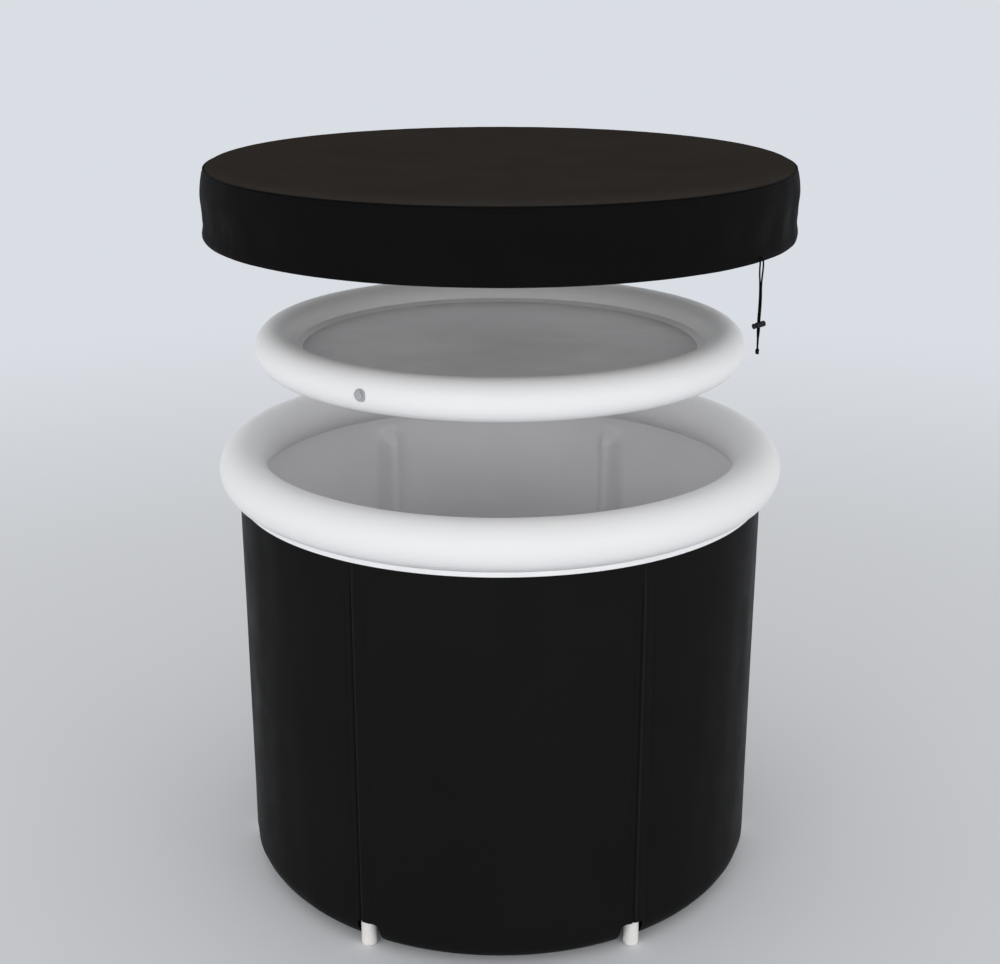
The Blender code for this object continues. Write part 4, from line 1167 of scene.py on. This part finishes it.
def notch_cutter(index):
    """Cutter of the notch at a rod's foot. It opens towards the neighbour that shares the rod's panel."""
    near, far = ROD_RADIUS + NOTCH_NEAR, ROD_RADIUS + NOTCH_FAR
    sides = (-near, far) if index % 2 == 0 else (-far, near)
    depth, front = ROD_PLACE - BASE_EDGE + NOTCH_PAST, WALL_RADIUS - ROD_PLACE + NOTCH_PAST
    box = block(f"notch_{index}", (-depth, sides[0], -NOTCH_PAST), (front, sides[1], NOTCH_HEIGHT))
    with editing(box.data) as bm:
        upper = [e for e in bm.edges if min(v.co.z for v in e.verts) > 0]
        corners = [e for e in upper if abs(e.verts[0].co.x - e.verts[1].co.x) > front]
        bmesh.ops.bevel(bm, geom=corners, offset=NOTCH_CORNER, segments=6, profile=0.5, affect="EDGES")
    turn = Matrix.Rotation(TURN * index / ROD_COUNT, 4, "Z")
    box.data.transform(turn @ Matrix.Translation((ROD_PLACE, 0, 0)))
    return box


def round_cutter(name, radius, depth, axes):
    return lathe(name, [(0, CUTTER_PROUD), (radius, CUTTER_PROUD), (radius, -depth), (0, -depth)], None, axes)


def drain_axes():
    outward = around(DRAIN_TURN)
    return frame_of(outward * WALL_RADIUS * FACET_FLAT + UP * DRAIN_HEIGHT, outward, UP)


def drain_cutter():
    return round_cutter("drain_hole", BARREL_RADIUS + GAP, DRAIN_CUT, drain_axes())


class BATH_OT_wall(bpy.types.Operator):
    """Makes the outer wall with its notches, the cloth under the base and the seams beside the rods"""

    bl_idname = "bath.wall"
    bl_label = "Outer wall"

    def execute(self, context):
        sizes = context.scene.bath_sizes
        fold = sizes.wall_fold

        def relief(theta, height, share):
            return wall_relief(theta, height, fold) * (BASE_FOLD_SHARE + (1 - BASE_FOLD_SHARE) * share)

        inner = shell_rows(wall_profile(OUTER_CLOTH), relief)
        wall = skin("wall_laminate", shell_rows(wall_profile(0), relief) + inner[::-1], "wall")
        cut(wall, drain_cutter(), *[notch_cutter(index) for index in range(ROD_COUNT)])
        settle(wall, "tub", "wall_cloth", "outer_wall")
        base = self.base_cloth()
        settle(base, "tub", "wall_cloth", "base_panel")
        self.sleeve_seams(sizes, fold)
        # Raised lines beside the rods, whose lighter finish is a painted highlight of gloss
        self.panel_welds(fold)
        return {"FINISHED"}

    def base_cloth(self):
        radius, top = BASE_EDGE - GAP, OUTER_CLOTH
        levels = [(0, top), (radius / 2, top), (radius, top), (radius, 0), (radius / 2, 0), (0, 0)]
        return skin("base_cloth", shell_rows([(*level, 0) for level in levels]), "wall", loop=False, flat_uv=True)

    def upright(self, index, aside, fold, low, high, sunk=0.0):
        """A line up the wall's face, this far round it from a rod."""
        angle = TURN * index / ROD_COUNT + aside / WALL_RADIUS
        heights = np.linspace(low, high, SEAM_POINTS)
        return ring_at(WALL_RADIUS - sunk + wall_relief(angle, heights, fold), angle, heights)

    def sleeve_seams(self, sizes, fold):
        """Two rows of stitches beside each rod, which hold its sleeve."""
        places = [(index, side * SLEEVE_SEAM_ASIDE) for index in range(ROD_COUNT) for side in (-1, 1)]
        lines = [self.upright(*place, fold, BASE_ROUNDING + SLEEVE_SEAM_LOW, ROD_TOP) for place in places]
        settle(stitches("sleeve_stitches", lines, 0, sizes), "tub", "wall_cloth")

    def panel_welds(self, fold):
        """A thin raised line beside each rod. Its finish is lighter than the wall, as a painted highlight of the gloss
        on the bend.
        """
        low, high = NOTCH_HEIGHT + SHEEN_LINE_LOW, WALL_TOP - FLANGE_LEG
        for index in range(ROD_COUNT):
            line = self.upright(index, SHEEN_LINE_ASIDE, fold, low, high, SHEEN_LINE_RADIUS * SHEEN_LINE_SUNK)
            bead = tube_mesh(f"panel_weld_{index + 1}", line, SHEEN_LINE_RADIUS, "bead", SHEEN_LINE_SIDES)
            settle(bead, "tub", "wall_cloth")


class BATH_OT_liner(bpy.types.Operator):
    """Makes the waterproof liner and the foam behind and under it"""

    bl_idname = "bath.liner"
    bl_label = "Liner and foam"

    def execute(self, context):
        fold = context.scene.bath_sizes.liner_fold

        def relief(theta, height, share):
            fade = smooth_step(height, *[WALL_TOP - depth for depth in LINER_TOP_FADE])
            soft = waves(theta, height, fold, *LINER_WAVES) * fade
            small = gathers(theta, *LINER_GATHERS) * smooth_step(height, *LINER_GATHERS_FADE)
            return ridge(theta, height, share) - (np.abs(soft) + small * fade) * share

        faces = []
        for offset in (LINER_OFFSET, LINER_FACE):
            floor = [(BASE_EDGE * share, offset, 0) for share in (0.75, 0.5, 0.25, 0)]
            faces.append(shell_rows(wall_profile(offset) + floor, relief))
        # The liner's outer rows are near black, so the notches at the rods' feet show dark
        liner = skin("liner_film", faces[0] + faces[1][::-1], "liner", backing=("backing", len(faces[0]) - 2))
        cut(liner, drain_cutter())
        settle(liner, "tub", "liner", "inner_liner")
        straight = [row for row in wall_profile(FOAM_OFFSET) if row[2] == 1.0 and row[1] > BASE_ROUNDING]
        front = shell_rows([(r - FOAM, z, s) for r, z, s in straight], ridge)
        foam = skin("wall_foam_layer", shell_rows(straight, ridge) + front[::-1], "foam")
        cut(foam, drain_cutter())
        settle(foam, "tub", "foam", "wall_foam")
        radius, low, high, ease = BASE_EDGE - GAP, FOAM_OFFSET, FOAM_OFFSET + FOAM, 0.002
        levels = [(0, high), (radius - ease, high), (radius, high - ease), (radius, low), (0, low)]
        base = skin("base_foam_layer", shell_rows([(*level, 0) for level in levels]), "foam", loop=False)
        settle(base, "tub", "foam", "base_foam")
        return {"FINISHED"}


def make_ring(name, radius, tube, height, wave, weld, material="rim"):
    ring = link(name, bpy.data.meshes.new(name))
    grown(ring, "ring", material, Ring_radius=radius, Tube_radius=tube, Height=height, Wave=wave, Weld_angle=weld)
    return outward_faces(ring)


def valve_axes(kind):
    """Frame of an air valve: Z out of the ring, Y towards the strap's hinge."""
    if kind == "lid":
        outward = around(LID_VALVE_TURN)
        return frame_of(outward * (LID_RADIUS + LID_TUBE) + UP * LID_HEIGHT, outward, UP)
    turn, pitch = around(RIM_VALVE_TURN), math.radians(RIM_VALVE_PITCH)
    outward = turn * math.cos(pitch) + UP * math.sin(pitch)
    up = UP * math.cos(pitch) - turn * math.sin(pitch)
    return frame_of(turn * RIM_RADIUS + outward * RIM_TUBE + UP * RIM_HEIGHT, outward, up)


def valve_cutter(kind):
    return round_cutter("valve_seat", VALVE_RADIUS + GAP, VALVE_DEPTH + SEAT_EASE, valve_axes(kind))


def make_valve(kind, body, plug_body):
    """An air valve: a soft body with a bore, and a plug on a strap."""
    axes = valve_axes(kind)
    rim, dish = VALVE_RADIUS - 0.0006, VALVE_DISH
    outline = [(VALVE_BORE, VALVE_PROUD), (VALVE_BORE + 0.0009, VALVE_PROUD), (VALVE_BORE + 0.0014, dish)]
    outline += [(rim - 0.0012, dish), (rim - 0.0004, VALVE_PROUD), (rim, VALVE_PROUD), (VALVE_RADIUS, 0.0004)]
    outline += [(VALVE_RADIUS, -VALVE_DEPTH), (VALVE_BORE, -VALVE_DEPTH)]
    valve = lathe(f"{kind}_air_valve", outline, "valve", axes, closed=True, rounding=0.0003)
    settle(valve, body, "valve_plastic", f"{kind}_valve_body")
    seat = VALVE_PROUD + GAP
    dimple, edge = PLUG_HEAD * 0.72, PLUG_HEAD - PLUG_EDGE
    head = [(0, dimple), (PLUG_RADIUS * 0.45, dimple), (PLUG_RADIUS * 0.6, PLUG_HEAD)]
    head += [(PLUG_RADIUS - PLUG_EDGE, PLUG_HEAD), (PLUG_RADIUS, edge), (PLUG_RADIUS, 0), (STUB_RADIUS, 0)]
    head += [(STUB_RADIUS, -STUB_LENGTH * 0.7), (STUB_RADIUS * 0.8, -STUB_LENGTH), (0, -STUB_LENGTH)]
    centre = axes @ Matrix.Translation((0, 0, seat))
    plug = lathe(f"{kind}_valve_cap", head, "valve", centre, rounding=0.0002)
    half, ends = STRAP_WIDTH / 2, HINGE_WIDTH / 2
    hinge = axes @ Matrix.Translation((0, HINGE_REACH, seat + HINGE_BARREL))
    strap = block("strap", (-half, PLUG_RADIUS / 2 - HINGE_REACH, 0), (half, 0, STRAP))
    strap.data.transform(hinge @ Matrix.Translation((0, 0, -HINGE_BARREL)))
    pin = [(0, ends), (HINGE_BARREL, ends), (HINGE_BARREL, -ends), (0, -ends)]
    barrel = lathe("barrel", pin, None, hinge @ Matrix.Rotation(math.pi / 2, 4, "Y"), HINGE_SIDES)
    combined(plug, "UNION", [strap, barrel])
    settle(plug, plug_body, "valve_plastic", f"{kind}_valve_plug")


class BATH_OT_rim(bpy.types.Operator):
    """Makes the inflated rim ring and the welded band that joins it to the wall"""

    bl_idname = "bath.rim"
    bl_label = "Rim ring"

    def execute(self, context):
        sizes = context.scene.bath_sizes
        ring = make_ring("rim_tube", sizes.rim_radius, sizes.rim_tube, RIM_HEIGHT, sizes.film_wave, -math.pi / 2)
        cut(ring, valve_cutter("rim"))
        settle(ring, "tub", "rim_film", "rim_ring")
        cloth, top = FLANGE_CLOTH, FLANGE_TOP
        outer, inner = WALL_RADIUS + GAP + cloth, WALL_RADIUS - LINER_FACE - GAP - cloth
        low, web = top - FLANGE_LEG, top - cloth
        outline = [(outer, top), (outer, low), (outer - cloth, low), (outer - cloth, web)]
        outline += [(inner + cloth, web), (inner + cloth, low), (inner, low), (inner, top)]
        band = lathe("rim_weld_band", outline, "weld", sides=COLUMNS, closed=True, rounding=0.0005)
        settle(band, "tub", "weld_film", "rim_flange")
        make_valve("rim", "tub", "rim_plug")
        return {"FINISHED"}


class BATH_OT_rods(bpy.types.Operator):
    """Makes the rods' feet and sleeves, repeated round the wall"""

    bl_idname = "bath.rods"
    bl_label = "Rods"

    def execute(self, context):
        edge, top, ease = FOOT_EDGE, FOOT_HEIGHT + SHANK_LENGTH, 0.0006
        foot = [(0, top), (SHANK_RADIUS, top), (SHANK_RADIUS, FOOT_HEIGHT)]
        foot += [(ROD_RADIUS - ease, FOOT_HEIGHT), (ROD_RADIUS, FOOT_HEIGHT - ease)]
        for angle in np.linspace(0, math.pi / 2, 7):
            foot.append((ROD_RADIUS - edge * (1 - math.cos(angle)), edge * (1 - math.sin(angle))))
        foot += [(ROD_RADIUS * 0.55, 0), (ROD_RADIUS * 0.5, ease), (0, ease)]
        low, bore = FOOT_HEIGHT + GAP, ROD_RADIUS - ROD_WALL
        tube = [(ROD_RADIUS, ROD_TOP), (ROD_RADIUS, low), (bore, low), (bore, ROD_TOP)]
        at_rod = Matrix.Translation((ROD_PLACE, 0, 0))
        feet = lathe("rod_feet", foot, "feet", at_rod)
        tubes = lathe("rod_tubes", tube, "feet", at_rod, closed=True, rounding=0.0003)
        for piece, finish_name, slot, node in (
            (feet, "feet", "foot_plastic", "rod_foot"),
            (tubes, "feet", "rod_plastic", "rod_tube"),
            (self.sleeve(), "sleeve", "sleeve_cloth", "rod_pocket"),
        ):
            grown(piece, "repeat", finish_name, Count=ROD_COUNT)
            settle(piece, "tub", slot, *[f"{node}_{k + 1}" for k in range(ROD_COUNT)])
        for k in range(ROD_COUNT):
            paint(NODES[f"rod_top_plug_{k + 1}"], "feet")
        return {"FINISHED"}

    def sleeve(self):
        """A folded strip round one rod, with a wing on each side against the wall."""
        face = WALL_RADIUS - OUTER_CLOTH - GAP - ROD_PLACE
        tip, slope = SLEEVE_RADIUS + SLEEVE_CLOTH + SLEEVE_WING, math.tan(HALF_FACET)
        outline = []
        for radius, inset in ((SLEEVE_RADIUS, 0), (SLEEVE_RADIUS + SLEEVE_CLOTH, SLEEVE_CLOTH)):
            half = [(face - inset - slope * y, y) for y in (tip, radius)]
            arc = np.linspace(math.pi / 2, math.pi, SLEEVE_STEPS)
            half += [(radius * math.cos(a), radius * math.sin(a)) for a in arc]
            whole = half + [(x, -y) for x, y in half[-2::-1]]
            outline += whole[::-1] if inset else whole
        heights = np.linspace(ROD_TOP, BASE_ROUNDING + SLEEVE_LOW, SLEEVE_STEPS)
        rows = [[(ROD_PLACE + x, y, height) for x, y in outline] for height in heights]
        obj = skin("rod_sleeves", rows, "sleeve", loop=False, sharp=30)
        with editing(obj.data) as bm:
            bmesh.ops.holes_fill(bm, edges=[e for e in bm.edges if e.is_boundary])
            bmesh.ops.recalc_face_normals(bm, faces=bm.faces)
        return outward_faces(obj)


def ribbed(name, outline, ribs, low, high, reach, rounding):
    """A turned piece of the drain with small grip ribs round it."""
    obj = lathe(name, outline, "drain", rounding=rounding, closed=outline[0][0] > 0)
    half = RIB_HALF_WIDTH
    rib = block("rib", (reach - RIB_ROOT, -half, low), (reach + RIB_DEPTH, half, high))
    bevel = rib.modifiers.new("edge", "BEVEL")
    bevel.width = half * RIB_EDGE
    bevel.segments = 2
    grown(plain(rib), "repeat", "drain", Count=ribs)
    combined(obj, "UNION", [rib])
    obj.data.transform(drain_axes())
    return obj


class BATH_OT_drain(bpy.types.Operator):
    """Makes the drain low in the back of the wall"""

    bl_idname = "bath.drain"
    bl_label = "Drain"

    def execute(self, context):
        axes = drain_axes()
        face = -LINER_FACE * FACET_FLAT - GAP
        back = face - GASKET - GAP
        flange_in, wide, clear = back - DRAIN_FLANGE, DRAIN_FLANGE_RADIUS, BARREL_RADIUS + GAP
        barrel = [(BARREL_RADIUS, BARREL_REACH), (BARREL_RADIUS, back), (wide, back)]
        barrel += [(wide, flange_in), (BARREL_BORE, flange_in), (BARREL_BORE, BARREL_REACH)]
        body = lathe("drain_barrel", barrel, "drain", axes, closed=True, rounding=0.0006)
        settle(body, "tub", "drain_plastic", "drain_flange")
        gasket = [(wide - 0.002, face), (wide - 0.002, face - GASKET), (clear, face - GASKET), (clear, face)]
        seal = lathe("drain_seal", gasket, "rubber", axes, closed=True, rounding=0.0004)
        settle(seal, "tub", "seal_rubber", "drain_gasket")
        top, nut_face = GAP + NUT, NUT_RADIUS - RIB_DEPTH
        nut = [(nut_face, top), (nut_face, GAP), (clear, GAP), (clear, top)]
        ring = ribbed("drain_lock_nut", nut, NUT_RIBS, GAP + RIB_EASE, top - RIB_EASE, nut_face, 0.0005)
        settle(ring, "tub", "drain_plastic", "drain_nut")
        seat, low, cap_face = BARREL_REACH + GAP, top + GAP, clear + CAP_WALL - 0.0004
        cap = [(0, seat + CAP_WALL), (cap_face, seat + CAP_WALL), (cap_face, low), (clear, low)]
        cap += [(clear, seat), (0, seat)]
        cover = ribbed("drain_screw_cap", cap, CAP_RIBS, low + RIB_EASE, seat, clear + CAP_WALL - RIB_DEPTH, 0.0006)
        settle(cover, "drain_outer_cap", "drain_plastic", "drain_cap")
        plug, head_out, head_wide = BARREL_BORE - GAP, flange_in - GAP, BARREL_BORE + 0.0035
        head_in, knob = head_out - STOPPER_HEAD, STOPPER_KNOB_RADIUS
        end, knob_in = head_out + STOPPER_DEPTH, head_in - STOPPER_KNOB
        stopper = [(0, end), (plug - 0.0006, end), (plug, head_out + 0.0055), (plug, head_out), (head_wide, head_out)]
        stopper += [(head_wide, head_in), (knob * 0.8, head_in), (knob, head_in - STOPPER_KNOB * 0.6)]
        stopper += [(knob, knob_in), (0, knob_in)]
        bung = lathe("drain_bung", stopper, "rubber", axes, rounding=0.0006)
        settle(bung, "drain_inner_stopper", "seal_rubber", "drain_stopper")
        return {"FINISHED"}


# Lid

def sag(radius, theta):
    """Height of the lid's sheet over its middle level: small gathers at its edge, soft waves inside."""
    edge = smooth_step(radius, SHEET_EDGE * SHEET_RADIUS, SHEET_RADIUS)
    small = gathers(theta, *SHEET_GATHERS) * edge * (1 - edge**6)
    return small + SHEET_WAVE * waves(theta, radius * 3, 1.0, *SHEET_WAVES) * (1 - edge) * (radius / SHEET_RADIUS)


class BATH_OT_lid(bpy.types.Operator):
    """Makes the inflated lid: its ring, the sheet across it and the welded band between them"""

    bl_idname = "bath.lid"
    bl_label = "Lid"

    def execute(self, context):
        sizes = context.scene.bath_sizes
        wave = sizes.film_wave * LID_WAVE_SHARE
        ring = make_ring("lid_tube", sizes.lid_radius, sizes.lid_tube, LID_HEIGHT, wave, math.pi)
        cut(ring, valve_cutter("lid"))
        settle(ring, "lid", "lid_film", "lid_ring")
        across, half, middle = 2 * SHEET_RADIUS, SHEET_CLOTH / 2, LID_HEIGHT - SHEET_DROP
        radii = np.linspace(0, SHEET_RADIUS, DISC_ROWS)
        sheet = disc("lid_sheet_film", radii, (middle + half, middle - half), sag, "lid_sheet")
        settle(sheet, "lid", "lid_sheet", "lid_disc")
        outer, inner, top = LID_RADIUS - LID_TUBE - GAP, SHEET_RADIUS + GAP, LID_HEIGHT
        band = [(outer, top + half), (outer, top - half), (inner, middle - half), (inner, middle + half)]
        weld = lathe("lid_weld_strip", band, "weld", sides=COLUMNS, closed=True, rounding=0.0003)
        settle(weld, "lid", "weld_film", "lid_weld_band")
        make_valve("lid", "lid", "lid_plug")
        return {"FINISHED"}


# Cover

def top_relief(radius, theta):
    """Height of the cover's top over its level: its dip and crown, faint tension folds and small gathers."""
    edge = smooth_step(radius, TOP_EDGE * TOP_RADIUS, TOP_RADIUS)
    soft = TOP_WAVE * waves(theta, radius * 4, 1.0, *TOP_WAVES) * (radius / TOP_RADIUS) * (1 - edge)
    small = gathers(theta, *TOP_GATHERS) * edge * (1 - edge**8)
    places, heights = zip(*TOP_PROFILE, (TOP_RADIUS, -SEAM_DROP))
    return soft + small + smooth_curve(radius, places, heights)


def skirt_reach(theta, drop, fold):
    """Radius of the skirt's outer face, this far below the cover's height."""
    outsets, drops = zip(*SKIRT_PROFILE)
    small = gathers(theta, *SKIRT_GATHERS) * smooth_step(drop, *SKIRT_GATHERS_FADE)
    grow = smooth_step(drop, *SKIRT_FOLDS_FADE) * (1 - SKIRT_HEM_CALM * smooth_step(drop, *SKIRT_HEM_FADE))
    return COVER_SHOULDER + smooth_curve(drop, drops, outsets) + (waves(theta, drop, fold, *SKIRT_WAVES) + small) * grow


class BATH_OT_cover(bpy.types.Operator):
    """Makes the cover: top cloth, side cloth, piping, hem and their stitches"""

    bl_idname = "bath.cover"
    bl_label = "Cover"

    def execute(self, context):
        sizes = context.scene.bath_sizes
        fold, theta = sizes.cover_fold, even_turns(COLUMNS)
        radii = np.concatenate([np.linspace(*rows) for rows in TOP_ROWS])
        top = disc("cover_top_cloth", radii, (COVER_HEIGHT, COVER_HEIGHT - COVER_CLOTH), top_relief, "cover_top")
        settle(top, "cover", "cover_top_cloth", "cover_top")
        drops = np.concatenate([np.linspace(*rows) for rows in SKIRT_ROWS])
        outer, inner = (
            [ring_at(skirt_reach(theta, drop, fold) - inset, theta, COVER_HEIGHT - drop) for drop in drops]
            for inset in (0, COVER_CLOTH)
        )
        skirt = skin("cover_side_cloth", outer + inner[::-1], "cover_side")
        settle(skirt, "cover", "cover_side_cloth", "cover_skirt")
        level = COVER_HEIGHT - SEAM_DROP
        piping = make_ring("cover_piping_cord", SEAM_RADIUS, PIPING_RADIUS, level, PIPING_WAVE, 0.0, "trim")
        settle(piping, "cover", "cover_trim", "cover_piping")
        hem = self.hem(theta)
        settle(hem, "cover", "cover_trim", "cover_hem")
        self.hem_cord()
        seams = self.seams(theta, sizes)
        settle(seams, "cover", "cover_trim")
        return {"FINISHED"}

    def hem(self, theta):
        """The gathered hem, with a round opening for the drawcord."""
        half, thick = HEM_HEIGHT / 2, HEM_THICKNESS
        middle = COVER_INNER + thick / 2
        gather = gathers(theta, *HEM_GATHERS)
        rows = []
        for angle in even_turns(HEM_SIDES)[::-1]:
            c, s = math.cos(angle), math.sin(angle)
            out = math.copysign(abs(c) ** HEM_POWERS[0], c) * thick / 2
            up = math.copysign(abs(s) ** HEM_POWERS[1], s) * half
            rows.append(ring_at(middle + out + gather * (1 if out > 0 else HEM_INNER_SHARE), theta, HEM_MIDDLE + up))
        hem = skin("cover_hem_band", rows, "trim")
        tunnel = CORD_RADIUS + GAP
        side = CORD_EXIT_SPREAD + tunnel
        slot = block("exit", (0, -side, -tunnel), (thick, side, tunnel))
        turn = Matrix.Rotation(math.radians(CORD_EXIT_TURN), 4, "Z")
        slot.data.transform(turn @ Matrix.Translation((middle, 0, HEM_MIDDLE)))
        return cut(hem, slot)

    def hem_cord(self):
        """The drawcord inside the hem's tunnel, with its two ends at the opening."""
        radius, outward = COVER_INNER + HEM_THICKNESS / 2, around(CORD_EXIT_TURN)
        side, level = UP.cross(outward) * CORD_EXIT_SPREAD, UP * HEM_MIDDLE
        first, last = outward * radius + side + level, outward * radius - side + level
        face = outward * (HEM_THICKNESS / 2 - HEM_CORD_SUNK)
        turns = np.linspace(CORD_EXIT_TURN + HEM_GAP_TURN, CORD_EXIT_TURN + 360 - HEM_GAP_TURN, HEM_CORD_POINTS)
        path = [first + face, first + face * 0.5] + [around(t) * radius + level for t in turns]
        path += [last + face * 0.5, last + face]
        cord = tube_mesh("hem_cord", path, CORD_RADIUS * HEM_CORD_SHARE, "cord", HEM_CORD_SIDES)
        settle(cord, "cover", "cord", "hem_drawcord")

    def seams(self, theta, sizes):
        """Top-stitch rows under the piping and over the hem, and two upright seams of the side cloth."""
        fold = sizes.cover_fold
        rounds = [(theta, drop) for drop in (SKIRT_TOP + TOP_SEAM, HEM_SEAM)]
        drops = np.linspace(SKIRT_TOP + SIDE_SEAM_START, HEM_SEAM, SIDE_SEAM_POINTS)
        offsets = [aside / COVER_SHOULDER for aside in (-SIDE_SEAM_HALF, SIDE_SEAM_HALF)]
        uprights = [(math.radians(turn) + offset, drops) for turn in SIDE_SEAM_TURNS for offset in offsets]
        lines = [ring_at(skirt_reach(a, drop, fold), a, COVER_HEIGHT - drop) for a, drop in rounds + uprights]
        return stitches("cover_stitches", lines, len(rounds), sizes)


PIECE_OPERATORS = (
    BATH_OT_stage,
    BATH_OT_drawcord,
    BATH_OT_wall,
    BATH_OT_liner,
    BATH_OT_rim,
    BATH_OT_rods,
    BATH_OT_drain,
    BATH_OT_lid,
    BATH_OT_cover,
)


class BATH_PT_panel(bpy.types.Panel):
    """Lists the bathtub's pieces, sizes and colours"""

    bl_label = "Inflatable bathtub"
    bl_idname = "BATH_PT_panel"
    bl_space_type = "VIEW_3D"
    bl_region_type = "UI"
    bl_category = "Bathtub"

    def draw(self, context):
        for group in (context.scene.bath_sizes, context.scene.bath_colours):
            for name in group.__annotations__:
                self.layout.prop(group, name)
        for operator in PIECE_OPERATORS:
            self.layout.operator(operator.bl_idname)


CLASSES = (BathSizes, BathColours, *PIECE_OPERATORS, BATH_PT_panel)


def register():
    for cls in CLASSES:
        bpy.utils.register_class(cls)
    bpy.types.Scene.bath_sizes = bpy.props.PointerProperty(type=BathSizes)
    bpy.types.Scene.bath_colours = bpy.props.PointerProperty(type=BathColours)


def unregister():
    del bpy.types.Scene.bath_colours
    del bpy.types.Scene.bath_sizes
    for cls in reversed(CLASSES):
        bpy.utils.unregister_class(cls)


def main():
    register()
    bpy.ops.bath.stage()
    bpy.ops.bath.drawcord()
    bpy.ops.bath.wall()
    bpy.ops.bath.liner()
    bpy.ops.bath.rim()
    bpy.ops.bath.rods()
    bpy.ops.bath.drain()
    bpy.ops.bath.lid()
    bpy.ops.bath.cover()


if __name__ == "__main__":
    main()
